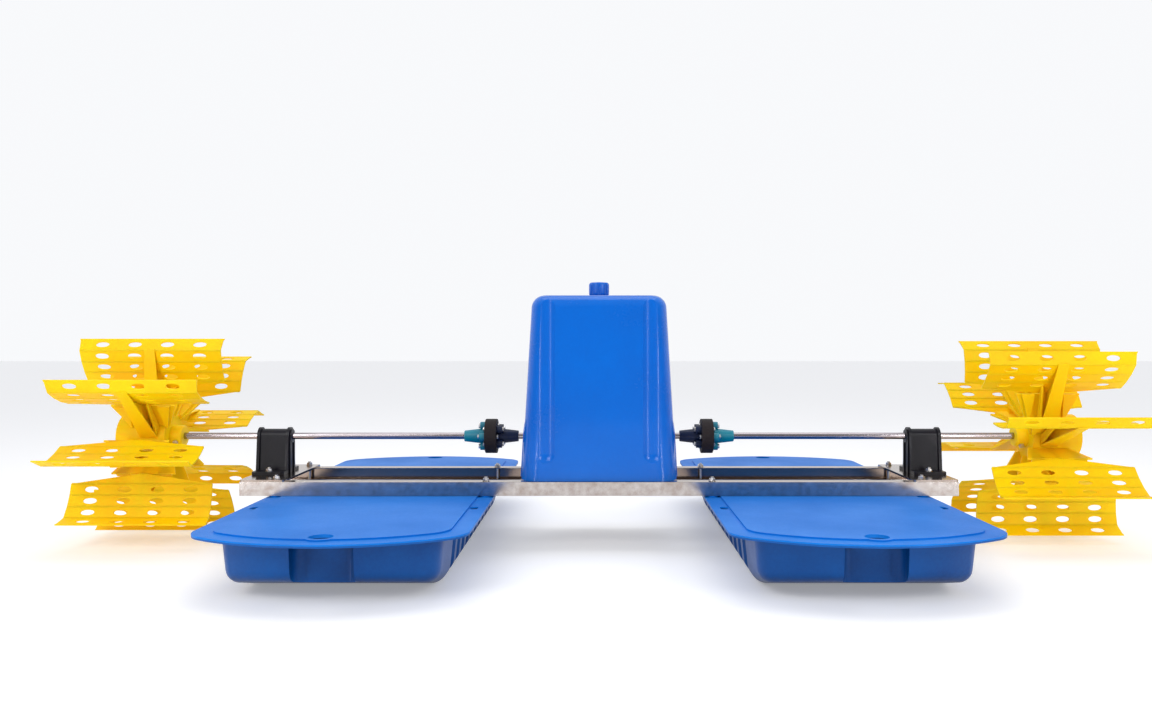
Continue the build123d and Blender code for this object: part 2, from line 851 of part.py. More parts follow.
shaft_start = disc_outer_face
shaft_end = wheel_centre + sleeve_outboard - 6
for side, label, wheel_turn in ((-1, "left", left_wheel_turn), (1, "right", right_wheel_turn)):
    with BuildPart() as placed_wheel:
        with Locations((side * wheel_centre, 0, shaft_height)):
            if side > 0:
                add(wheel.part, rotation=(wheel_turn, 0, 0))
            else:
                add(wheel.part.mirror(Plane.YZ), rotation=(wheel_turn, 0, 0))
    save(placed_wheel, f"wheel_{label}")
    with BuildPart() as placed_bolt:
        with Locations((side * wheel_centre, 0, shaft_height)):
            if side > 0:
                add(wheel_bolt.part, rotation=(wheel_turn, 0, 0))
            else:
                add(wheel_bolt.part.mirror(Plane.YZ), rotation=(wheel_turn, 0, 0))
    save(placed_bolt, f"wheel_bolt_{label}")
    bolt_turn = math.radians(wheel_turn + wheel_bolt_angle)
    bolt_plane = Plane(
        origin=(side * (wheel_centre - wheel_bolt_offset), 0, shaft_height),
        x_dir=(1, 0, 0),
        z_dir=(0, -math.sin(bolt_turn), math.cos(bolt_turn)),
    )
    with BuildPart() as side_shaft:
        with BuildSketch(Plane.YZ.offset(side * shaft_start)):
            with Locations((0, shaft_height)):
                Circle(shaft_radius)
        extrude(amount=side * (shaft_end - shaft_start))
        with BuildSketch(bolt_plane):
            Circle(m10[0] + fit_gap)
        extrude(amount=shaft_radius, both=True, mode=Mode.SUBTRACT)
    save(side_shaft, f"side_shaft_{label}")


# Gearbox: worm and wheel, their bearings and their case

motor_axis = (0, motor_y)
shaft_axis = (0, shaft_height)

with BuildPart() as base_plate:
    with BuildSketch(Plane.XY.offset(beam_top)):
        Rectangle(2 * plate_half_width, 2 * plate_half_depth)
        fillet(vertices(), 10)
        with GridLocations(2 * plate_bolt_x, 2 * plate_bolt_y, 2, 2):
            Circle(m8[0] + hole_gap, mode=Mode.SUBTRACT)
        with Locations(foot_centre):
            with GridLocations(foot_bolt_x, foot_bolt_y, 2, 2):
                Circle(m8[0] + hole_gap, mode=Mode.SUBTRACT)
    extrude(amount=plate_thickness)
save(base_plate, "motor_base_plate")

with BuildPart() as plate_bolts:
    bolt_grid((0, 0), 2 * plate_bolt_x, 2 * plate_bolt_y, plate_top, plate_thickness + 14, m8)
    nut_seat = beam_top - beam_wall - m8[2]
    bolt_grid((0, 0), 2 * plate_bolt_x, 2 * plate_bolt_y, nut_seat, thread_end, m8)
save(plate_bolts, "plate_bolts")

with BuildPart() as gearbox_housing:
    with BuildSketch(Plane.YZ):
        with Locations(shaft_axis):
            Circle(case_radius)
    extrude(amount=case_half_width, both=True)
    with BuildSketch(Plane.XY.offset(worm_case_floor)):
        with Locations(motor_axis):
            Circle(worm_case_radius)
    extrude(amount=case_top - worm_case_floor)
    with BuildSketch(Plane.XY.offset(case_top)):
        with Locations(motor_axis):
            Circle(case_flange_radius)
    extrude(amount=-case_flange_thickness)
    with BuildSketch(Plane.XY.offset(plate_top)):
        with Locations(foot_centre):
            RectangleRounded(foot_width, foot_depth, 14)
    extrude(amount=foot_thickness)
    with BuildSketch(Plane.XY.offset(plate_top)):
        with Locations(foot_centre):
            Rectangle(1.5 * case_half_width, foot_depth - 4 * m8[1])
    extrude(amount=shaft_height - plate_top)
    with BuildSketch(Plane.YZ):
        with Locations(shaft_axis):
            Circle(case_bore)
    extrude(amount=case_half_width, both=True, mode=Mode.SUBTRACT)
    with BuildSketch(Plane.XY.offset(worm_case_floor + 2 * foot_thickness)):
        with Locations(motor_axis):
            Circle(worm_tip_radius + 1.5)
    extrude(amount=case_top, mode=Mode.SUBTRACT)
    with BuildSketch(Plane.XY.offset(shaft_foot)):
        with Locations(motor_axis):
            Circle(lower_bearing_radius)
    extrude(amount=lower_bearing_width, mode=Mode.SUBTRACT)
    with BuildSketch(Plane.XY.offset(plate_top)):
        with Locations(foot_centre):
            with GridLocations(foot_bolt_x, foot_bolt_y, 2, 2):
                Circle(m8[0] + hole_gap)
    extrude(amount=foot_thickness, mode=Mode.SUBTRACT)
    with BuildSketch(Plane.XY.offset(case_top)):
        with Locations(motor_axis):
            with GridLocations(flange_bolt_pitch, flange_bolt_pitch, 2, 2):
                Circle(m8[0] + hole_gap)
    extrude(amount=-case_flange_thickness, mode=Mode.SUBTRACT)
    for way in (-1, 1):
        with BuildSketch(Plane.YZ.offset(way * case_half_width)):
            with Locations(shaft_axis):
                with PolarLocations(cap_bolt_reach, 4, start_angle=45):
                    Circle(m6[0] + fit_gap)
        extrude(amount=-way * cap_bolt_depth, mode=Mode.SUBTRACT)
save(gearbox_housing, "gearbox_housing")

with BuildPart() as gearbox_bolts:
    foot_grip = foot_thickness + plate_thickness
    bolt_grid(foot_centre, foot_bolt_x, foot_bolt_y, foot_top, foot_grip + 12, m8)
    bolt_grid(foot_centre, foot_bolt_x, foot_bolt_y, beam_top - m8[2], thread_end, m8)
save(gearbox_bolts, "gearbox_bolts")

with BuildPart() as side_cap:
    with BuildSketch(Plane.YZ.offset(case_half_width)):
        with Locations(shaft_axis):
            Circle(case_radius)
            with PolarLocations(cap_bolt_reach, 4, start_angle=45):
                Circle(m6[0] + hole_gap, mode=Mode.SUBTRACT)
    extrude(amount=cap_flange_thickness)
    with BuildSketch(Plane.YZ.offset(cap_face)):
        with Locations(shaft_axis):
            Circle(cap_boss_radius)
    extrude(amount=cap_boss_length)
    with BuildSketch(Plane.YZ.offset(case_half_width)):
        with Locations(shaft_axis):
            Circle(bearing_radius + fit_gap)
    extrude(amount=bearing_face + bearing_width - case_half_width, mode=Mode.SUBTRACT)
    with BuildSketch(Plane.YZ.offset(case_half_width)):
        with Locations(shaft_axis):
            Circle(seal_radius + fit_gap)
    extrude(amount=cap_end, mode=Mode.SUBTRACT)
save_pair(side_cap, "side_cap")

with BuildPart() as cap_bolts:
    for way in (-1, 1):
        with BuildSketch(Plane.YZ.offset(way * cap_face)):
            with Locations(shaft_axis):
                with PolarLocations(cap_bolt_reach, 4, start_angle=45):
                    RegularPolygon(m6[1], 6)
        extrude(amount=way * m6[2])
        with BuildSketch(Plane.YZ.offset(way * cap_face)):
            with Locations(shaft_axis):
                with PolarLocations(cap_bolt_reach, 4, start_angle=45):
                    Circle(m6[0])
        extrude(amount=-way * (cap_flange_thickness + cap_bolt_depth - 2))
save(cap_bolts, "cap_bolts")

with BuildPart() as output_bearing:
    with BuildSketch(Plane.YZ.offset(bearing_face)):
        with Locations(shaft_axis):
            Circle(bearing_radius)
            Circle(journal_radius + fit_gap, mode=Mode.SUBTRACT)
    extrude(amount=bearing_width)
save_pair(output_bearing, "output_bearing")

with BuildPart() as oil_seal:
    with BuildSketch(Plane.YZ.offset(cap_end - seal_width)):
        with Locations(shaft_axis):
            Circle(seal_radius)
            Circle(journal_radius + fit_gap, mode=Mode.SUBTRACT)
    extrude(amount=seal_width)
save_pair(oil_seal, "oil_seal")

with BuildPart() as output_shaft:
    for reach, radius in (
        (disc_inner_face - thread_end, stub_radius),
        (cap_end + 2, journal_radius),
        (bearing_face - fit_gap, gear_seat_radius),
    ):
        with BuildSketch(Plane.YZ):
            with Locations(shaft_axis):
                Circle(radius)
        extrude(amount=reach, both=True)
save(output_shaft, "output_shaft")


def gear_section(turn):
    """Draws the worm wheel's outline, its teeth turned by an angle in radians."""
    tooth_half = gear_module * math.pi / 4 - tooth_gap / 2
    slope = math.tan(math.radians(flank_angle))
    root_half = tooth_half + (gear_pitch_radius - gear_root_radius) * slope
    tip_half = tooth_half - gear_module * slope
    points = []
    for tooth in range(wheel_teeth):
        middle = turn + (tooth + 0.5) * 2 * math.pi / wheel_teeth
        for radius, half in (
            (gear_root_radius, -root_half),
            (gear_tip_radius, -tip_half),
            (gear_tip_radius, tip_half),
            (gear_root_radius, root_half),
        ):
            angle = middle + half / radius
            points.append((radius * math.cos(angle), radius * math.sin(angle)))
    with BuildLine() as outline:
        Polyline(*points, close=True)
    make_face(outline.edges())


with BuildPart() as worm_wheel:
    lead_slope = worm_lead / (2 * math.pi * worm_pitch_radius)
    half_twist = gear_width / 2 * lead_slope / gear_pitch_radius
    with BuildSketch(Plane.YZ.offset(-gear_width / 2)):
        gear_section(-half_twist)
    with BuildSketch(Plane.YZ.offset(gear_width / 2)):
        gear_section(half_twist)
    loft(ruled=True)
    with BuildSketch(Plane.YZ):
        Circle(gear_hub_radius)
    extrude(amount=gear_hub_reach, both=True)
    with BuildSketch(Plane.YZ):
        Circle(gear_seat_radius + fit_gap)
    extrude(amount=gear_hub_reach, both=True, mode=Mode.SUBTRACT)
with BuildPart() as placed_gear:
    with Locations((0, 0, shaft_height)):
        add(worm_wheel.part)
save(placed_gear, "worm_wheel")


def turned_shaft(steps):
    """Adds the round steps of the upright motor shaft, each as radius, foot and top."""
    for radius, foot, top in steps:
        with BuildSketch(Plane.XY.offset(foot)) as step:
            with Locations(motor_axis):
                Circle(radius)
        extrude(step.sketch, amount=top - foot)


with BuildPart() as worm_shaft:
    worm_foot = shaft_height - 1.25 * worm_lead
    worm_top = shaft_height + 1.25 * worm_lead
    turned_shaft(
        (
            (lower_journal_radius, shaft_foot + 1, worm_foot),
            (rotor_shaft_radius, shaft_foot + lower_bearing_width, shell_top),
            (worm_root_radius, worm_foot - 4, worm_top + 4),
            (top_journal_radius, shell_top, fan_top),
        )
    )
    thread_half = gear_module * math.pi / 4 - tooth_gap / 2
    thread_slope = math.tan(math.radians(flank_angle))
    thread_foot = worm_root_radius - 0.4
    foot_half = thread_half + (worm_pitch_radius - thread_foot) * thread_slope
    crest_half = thread_half - gear_module * thread_slope
    for start in range(worm_starts):
        turn = 360 * start / worm_starts
        with BuildLine(Plane(origin=(0, motor_y, worm_foot)).rotated((0, 0, turn))):
            Helix(worm_lead, 2.5 * worm_lead, worm_pitch_radius)
        with BuildSketch(Plane(origin=(0, motor_y, worm_foot)).rotated((90, 0, turn))):
            with BuildLine():
                Polyline(
                    (thread_foot, -foot_half),
                    (worm_tip_radius, -crest_half),
                    (worm_tip_radius, crest_half),
                    (thread_foot, foot_half),
                    close=True,
                )
            make_face()
        sweep(is_frenet=True)
save(worm_shaft, "worm_shaft")


def bearing_ring(label, foot, width, outer, bore):
    """Writes one upright bearing on the motor shaft."""
    with BuildPart() as ring:
        with BuildSketch(Plane.XY.offset(foot)):
            with Locations(motor_axis):
                Circle(outer - fit_gap)
                Circle(bore + fit_gap, mode=Mode.SUBTRACT)
        extrude(amount=width)
    save(ring, label)


bearing_ring(
    "lower_worm_bearing",
    shaft_foot,
    lower_bearing_width,
    lower_bearing_radius,
    lower_journal_radius,
)
bearing_ring(
    "upper_worm_bearing", case_top, upper_bearing_width, upper_bearing_radius, rotor_shaft_radius
)
bearing_ring(
    "motor_top_bearing", shell_top, top_bearing_width, top_bearing_radius, top_journal_radius
)


# Motor

with BuildPart() as motor_flange:
    with BuildSketch(Plane.XY.offset(case_top)):
        with Locations(motor_axis):
            Circle(motor_flange_radius)
            Circle(rotor_shaft_radius + 4, mode=Mode.SUBTRACT)
    extrude(amount=motor_flange_thickness)
    with BuildSketch(Plane.XY.offset(case_top)):
        with Locations(motor_axis):
            Circle(upper_bearing_radius)
    extrude(amount=upper_bearing_width, mode=Mode.SUBTRACT)
    with BuildSketch(Plane.XY.offset(case_top)):
        with Locations(motor_axis):
            with GridLocations(flange_bolt_pitch, flange_bolt_pitch, 2, 2):
                Circle(m8[0] + fit_gap)
    extrude(amount=motor_flange_thickness - 2, mode=Mode.SUBTRACT)
save(motor_flange, "motor_flange")

with BuildPart() as motor_bolts:
    flange_seat = case_top - case_flange_thickness
    with BuildSketch(Plane.XY.offset(flange_seat)):
        with Locations(motor_axis):
            with GridLocations(flange_bolt_pitch, flange_bolt_pitch, 2, 2):
                RegularPolygon(m8[1], 6)
    extrude(amount=-m8[2])
    with BuildSketch(Plane.XY.offset(flange_seat)):
        with Locations(motor_axis):
            with GridLocations(flange_bolt_pitch, flange_bolt_pitch, 2, 2):
                Circle(m8[0])
    extrude(amount=case_flange_thickness + motor_flange_thickness - 3)
save(motor_bolts, "motor_bolts")

with BuildPart() as motor_shell:
    with BuildSketch(Plane.XY.offset(motor_base)):
        with Locations(motor_axis):
            Circle(motor_shell_radius)
            fin_middle = motor_shell_radius + fin_height / 2 - 1
            for fin in range(fin_count):
                angle = (fin + 0.5) * 360 / fin_count
                if abs(angle - 270) > box_sector:
                    with PolarLocations(fin_middle, 1, start_angle=angle):
                        Rectangle(fin_height + 2, fin_thickness)
            Circle(motor_shell_radius - motor_shell_wall, mode=Mode.SUBTRACT)
    extrude(amount=motor_shell_height)
save(motor_shell, "motor_shell")

stator_foot = motor_base + (motor_shell_height - stator_length) / 2
with BuildPart() as stator:
    with BuildSketch(Plane.XY.offset(stator_foot)):
        with Locations(motor_axis):
            Circle(motor_shell_radius - motor_shell_wall - fit_gap)
            Circle(stator_bore, mode=Mode.SUBTRACT)
    extrude(amount=stator_length)
    with BuildSketch(Plane.XY.offset(stator_foot - winding_height)):
        with Locations(motor_axis):
            Circle(motor_shell_radius - 2 * motor_shell_wall)
            Circle(stator_bore + motor_shell_wall, mode=Mode.SUBTRACT)
    extrude(amount=stator_length + 2 * winding_height)
save(stator, "stator")

with BuildPart() as rotor:
    with BuildSketch(Plane.XY.offset(stator_foot)):
        with Locations(motor_axis):
            Circle(stator_bore - air_gap)
            Circle(rotor_shaft_radius + fit_gap, mode=Mode.SUBTRACT)
    extrude(amount=stator_length)
save(rotor, "rotor")

with BuildPart() as end_bell:
    with BuildSketch(Plane.XY.offset(shell_top)):
        with Locations(motor_axis):
            Circle(cowl_radius - 1)
            Circle(top_journal_radius + 2, mode=Mode.SUBTRACT)
    extrude(amount=end_bell_thickness)
    with BuildSketch(Plane.XY.offset(shell_top)):
        with Locations(motor_axis):
            Circle(top_bearing_radius)
    extrude(amount=top_bearing_width, mode=Mode.SUBTRACT)
save(end_bell, "motor_end_bell")

with BuildPart() as fan:
    with BuildSketch(Plane.XY.offset(fan_foot)):
        with Locations(motor_axis):
            Circle(fan_radius)
    extrude(amount=fan_disc_thickness)
    with BuildSketch(Plane.XY.offset(fan_foot)):
        with Locations(motor_axis):
            Circle(fan_hub_radius)
            with PolarLocations((fan_hub_radius + fan_radius) / 2 - 1, fan_blades):
                Rectangle(fan_radius - fan_hub_radius, fan_disc_thickness)
    extrude(amount=fan_top - fan_foot)
    with BuildSketch(Plane.XY.offset(fan_foot)):
        with Locations(motor_axis):
            Circle(top_journal_radius + fit_gap)
    extrude(amount=fan_top - fan_foot, mode=Mode.SUBTRACT)
save(fan, "fan")

with BuildPart() as fan_cowl:
    with BuildSketch(Plane.XY.offset(bell_top)):
        with Locations(motor_axis):
            Circle(cowl_radius)
    extrude(amount=cowl_height)
    with BuildSketch(Plane.XY.offset(bell_top)):
        with Locations(motor_axis):
            Circle(cowl_radius - cowl_wall)
    extrude(amount=cowl_height - cowl_wall, mode=Mode.SUBTRACT)
    with BuildSketch(Plane.XY.offset(cowl_top)):
        with Locations(motor_axis):
            with PolarLocations(grille_reach, grille_slots):
                SlotOverall(grille_slot_length, grille_slot_width)
    extrude(amount=-cowl_wall, mode=Mode.SUBTRACT)
save(fan_cowl, "fan_cowl")

with BuildPart() as terminal_box:
    with BuildSketch(Plane.XY.offset(box_foot)):
        with Locations((0, (box_front + motor_y) / 2)):
            Rectangle(box_width, motor_y - box_front)
        with Locations(motor_axis):
            Circle(motor_shell_radius, mode=Mode.SUBTRACT)
    extrude(amount=box_height)
    with BuildSketch(Plane.XZ.offset(-box_front)):
        with Locations((0, box_foot + box_height / 2)):
            RectangleRounded(box_width + 8, box_height + 8, 6)
    extrude(amount=box_lid_thickness)
save(terminal_box, "terminal_box")

with BuildPart() as cable_gland:
    with BuildSketch(Plane.YZ.offset(box_width / 2)):
        with Locations(gland_place):
            RegularPolygon(gland_radius, 6)
    extrude(amount=gland_length / 3)
    with BuildSketch(Plane.YZ.offset(box_width / 2)):
        with Locations(gland_place):
            Circle(gland_radius - 3)
    extrude(amount=gland_length)
    with BuildSketch(Plane.YZ.offset(box_width / 2)):
        with Locations(gland_place):
            Circle(gland_radius / 3)
    extrude(amount=gland_length, mode=Mode.SUBTRACT)
save(cable_gland, "cable_gland")


# Motor cover, its stud and its knob


def cover_form(shrink):
    """Makes the tapering block of the cover with its four flutes, moved in by a wall."""
    lean = (cover_base_depth - cover_top_depth) / 2
    rise = cover_top - beam_top
    with BuildPart() as form:
        with BuildSketch(Plane.XY.offset(beam_top)):
            RectangleRounded(
                cover_base_width - 2 * shrink,
                cover_base_depth - 2 * shrink,
                cover_base_corner - shrink,
            )
        with BuildSketch(Plane.XY.offset(cover_top - shrink)):
            RectangleRounded(
                cover_top_width - 2 * shrink,
                cover_top_depth - 2 * shrink,
                cover_top_corner - shrink,
            )
        loft(ruled=True)
        fillet(edges().group_by(Axis.Z)[-1], cover_brow - shrink)
        for way in (-1, 1):
            for side in (-1, 1):
                reach = cover_base_depth / 2 + flute_radius - flute_depth
                foot = (side * flute_centre, way * reach, flute_foot + flute_radius)
                along = (0, -way * lean, rise)
                with BuildSketch(Plane(origin=foot, z_dir=along)):
                    Circle(flute_radius + shrink)
                extrude(amount=rise, mode=Mode.SUBTRACT)
                with Locations(foot):
                    Sphere(flute_radius + shrink, mode=Mode.SUBTRACT)
    return form.part


with BuildPart() as motor_cover:
    with BuildSketch(Plane.YZ):
        with Locations((0, beam_top + (shaft_height - beam_top) / 2)):
            Rectangle(arch_width, shaft_height - beam_top)
        with Locations((0, shaft_height - (arch_width / 2 - arch_rise))):
            Circle(arch_width / 2)
    extrude(amount=cover_base_width, both=True)
    add(cover_form(-arch_proud), mode=Mode.INTERSECT)
    add(cover_form(0))
    add(cover_form(cover_wall), mode=Mode.SUBTRACT)
    with BuildSketch(Plane.YZ):
        with Locations((0, beam_top + (shaft_height - beam_top) / 2)):
            Rectangle(shaft_slot_width, shaft_height - beam_top)
        with Locations((0, shaft_height)):
            Circle(shaft_slot_width / 2)
    extrude(amount=cover_base_width, both=True, mode=Mode.SUBTRACT)
    with BuildSketch(Plane.XY.offset(cover_top)):
        with Locations(motor_axis):
            Circle(m10[0] + hole_gap)
    extrude(amount=-2 * cover_wall, mode=Mode.SUBTRACT)
save(motor_cover, "motor_cover")

stud_top = cover_top + knob_height * 0.6
with BuildPart() as cover_stud:
    with BuildSketch(Plane.XY.offset(cowl_top)):
        with Locations(motor_axis):
            Circle(2 * m10[0])
    extrude(amount=thread_end)
    with BuildSketch(Plane.XY.offset(cowl_top)):
        with Locations(motor_axis):
            Circle(m10[0])
    extrude(amount=stud_top - cowl_top)
save(cover_stud, "cover_stud")

with BuildPart() as cover_knob:
    with BuildSketch(Plane.XY.offset(cover_top)):
        with Locations(motor_axis):
            Circle(knob_radius)
            with PolarLocations(knob_radius + 6, knob_flutes):
                Circle(knob_radius / 3, mode=Mode.SUBTRACT)
    extrude(amount=knob_height)
    chamfer(edges().group_by(Axis.Z)[-1], 3)
    with BuildSketch(Plane.XY.offset(cover_top)):
        with Locations(motor_axis):
            Circle(m10[0] + fit_gap)
    extrude(amount=stud_top - cover_top + 2, mode=Mode.SUBTRACT)
save(cover_knob, "cover_knob")
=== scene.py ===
"""Looks of a two-wheel paddle aerator that floats on two moulded pontoons.

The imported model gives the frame, in metres, with X along the drive shaft, Y from front to
rear and Z up. The paddle wheels, the visible bolts and the cover's knob are built here in
mesh code, and the other nodes keep their solids and get softened edges and materials.
"""

import json
import logging
import math
from dataclasses import dataclass, field
from enum import Enum
from typing import Iterable, Optional, Sequence

import bmesh
import bpy
from mathutils import Matrix, Vector


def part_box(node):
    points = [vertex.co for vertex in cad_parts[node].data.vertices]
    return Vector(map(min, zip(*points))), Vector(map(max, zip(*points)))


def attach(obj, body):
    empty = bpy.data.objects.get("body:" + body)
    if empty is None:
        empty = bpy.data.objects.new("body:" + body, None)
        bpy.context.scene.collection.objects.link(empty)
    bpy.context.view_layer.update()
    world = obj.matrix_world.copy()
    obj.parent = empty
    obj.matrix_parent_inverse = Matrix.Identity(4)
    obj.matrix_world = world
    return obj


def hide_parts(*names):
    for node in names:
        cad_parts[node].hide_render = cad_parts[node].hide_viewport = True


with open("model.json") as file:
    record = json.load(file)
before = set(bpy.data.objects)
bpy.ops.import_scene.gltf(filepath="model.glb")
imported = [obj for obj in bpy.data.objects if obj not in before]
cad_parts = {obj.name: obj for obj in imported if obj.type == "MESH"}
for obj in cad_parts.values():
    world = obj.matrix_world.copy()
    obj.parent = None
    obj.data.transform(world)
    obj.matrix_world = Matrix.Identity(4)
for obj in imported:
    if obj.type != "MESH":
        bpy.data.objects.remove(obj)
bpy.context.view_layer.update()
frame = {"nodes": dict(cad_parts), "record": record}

LOG = logging.getLogger("aerator")
LOG.setLevel(logging.INFO)

MM = 0.001
Point = tuple[float, float, float]
Pair = tuple[float, float]
Colour = tuple[float, float, float, float]


class Body(str, Enum):
    """Names of the bodies that the pieces ride on."""

    FRAME = "floating_frame"
    DRIVE = "drive_line"
    ROTOR = "motor_rotor"


@dataclass(frozen=True)
class WheelSizes:
    """Driving sizes of a paddle wheel, in millimetres."""

    centre: float = 1341.0
    shaft_height: float = 312.0
    radius: float = 300.0
    blades: int = 8
    half_width: float = 212.0
    lip_flare: float = 5.0
    sheet: float = 4.0
    bands: tuple[float, ...] = (38.0, 35.0, 34.0, 33.0)
    leans: tuple[float, ...] = (33.0, -8.0, -17.0, -25.0)
    tongue: float = 31.0
    hole: Pair = (41.0, 17.0)
    hole_pitch: float = 97.0
    hole_zone: float = 24.0
    fold: float = 3.0
    drum_radius: float = 66.0
    drum_span: Pair = (-46.0, 100.0)
    drum_wall: float = 6.0
    sleeve_radius: float = 32.0
    sleeve_span: Pair = (-80.0, 112.0)
    bore: float = 10.4


@dataclass(frozen=True)
class MouldedFinish:
    """A moulded or painted surface: two tones, gloss and a fine grain."""

    name: str
    slot: str
    light: Colour
    dark: Colour
    roughness: float = 0.35
    coat: float = 0.0
    metallic: float = 0.0
    grain: float = 900.0
    relief: float = 0.06
    mottle: float = 5.0
    wear: float = 0.35
    specular: float = 0.4
    depth: float = 0.0
    # Strength of the painted shade that darkens the colour in recesses and creases.
    painted_recess_shade: float = 0.0


@dataclass(frozen=True)
class MetalFinish:
    """A drawn or rolled metal surface with lines along one axis."""

    name: str
    slot: str
    light: Colour
    dark: Colour
    roughness: float = 0.25
    along: Point = (1.0, 60.0, 60.0)
    lines: float = 40.0
    relief: float = 0.05
    stain: Colour = (0.30, 0.22, 0.16, 1.0)
    stain_amount: float = 0.25
    wear: float = 0.5


class Tree:
    """Small wrapper that adds and links the nodes of one node tree."""

    def __init__(self, tree: bpy.types.NodeTree) -> None:
        """Keeps the tree.

        Args:
            tree: The node tree that is filled.
        """
        self.tree = tree
        self.count = 0

    def add(self, kind: str, **settings: object) -> bpy.types.Node:
        """Adds a node.

        Args:
            kind: The node's type name.
            settings: Properties to set on the node.

        Returns:
            The new node.
        """
        node = self.tree.nodes.new(kind)
        node.location = (180 * self.count, -60 * (self.count % 4))
        self.count += 1
        for key, value in settings.items():
            setattr(node, key, value)
        return node

    def put(self, socket: bpy.types.NodeSocket, value: object) -> None:
        """Links a socket to an input, or sets the input to a plain value.

        Args:
            socket: The input socket.
            value: An output socket or a value.
        """
        if isinstance(value, bpy.types.NodeSocket):
            self.tree.links.new(value, socket)
        else:
            socket.default_value = value

    def math(self, operation: str, *values: object) -> bpy.types.NodeSocket:
        """Adds a math node.

        Args:
            operation: The operation's name.
            values: Its inputs, as sockets or numbers.

        Returns:
            The result socket.
        """
        node = self.add("ShaderNodeMath", operation=operation)
        for socket, value in zip(node.inputs, values):
            self.put(socket, value)
        return node.outputs[0]

    def ramp(self, factor: object, stops: Sequence[tuple[float, float]]) -> bpy.types.NodeSocket:
        """Adds a grey ramp.

        Args:
            factor: The socket that drives it.
            stops: Pairs of place and grey value.

        Returns:
            The ramp's colour socket.
        """
        node = self.add("ShaderNodeValToRGB")
        elements = node.color_ramp.elements
        while len(elements) < len(stops):
            elements.new(0.5)
        for element, (place, grey) in zip(elements, stops):
            element.position = place
            element.color = (grey, grey, grey, 1.0)
        self.put(node.inputs[0], factor)
        return node.outputs[0]

    def mix(self, factor: object, first: object, second: object) -> bpy.types.NodeSocket:
        """Mixes two colours.

        Args:
            factor: Share of the second colour.
            first: The first colour.
            second: The second colour.

        Returns:
            The mixed colour's socket.
        """
        node = self.add("ShaderNodeMix", data_type="RGBA")
        self.put(node.inputs[0], factor)
        self.put(node.inputs[6], first)
        self.put(node.inputs[7], second)
        return node.outputs[2]


def new_group(name: str, kind: str, inputs: Sequence[tuple], outputs: Sequence[tuple]) -> Tree:
    """Makes a node group with its sockets.

    Args:
        name: The group's name.
        kind: The tree type.
        inputs: Tuples of name, socket type and default.
        outputs: Tuples of name and socket type.

    Returns:
        The wrapped tree.
    """
    tree = bpy.data.node_groups.new(name, kind)
    for label, socket_type, default in inputs:
        socket = tree.interface.new_socket(label, in_out="INPUT", socket_type=socket_type)
        if default is not None:
            socket.default_value = default
    for label, socket_type in outputs:
        tree.interface.new_socket(label, in_out="OUTPUT", socket_type=socket_type)
    return Tree(tree)


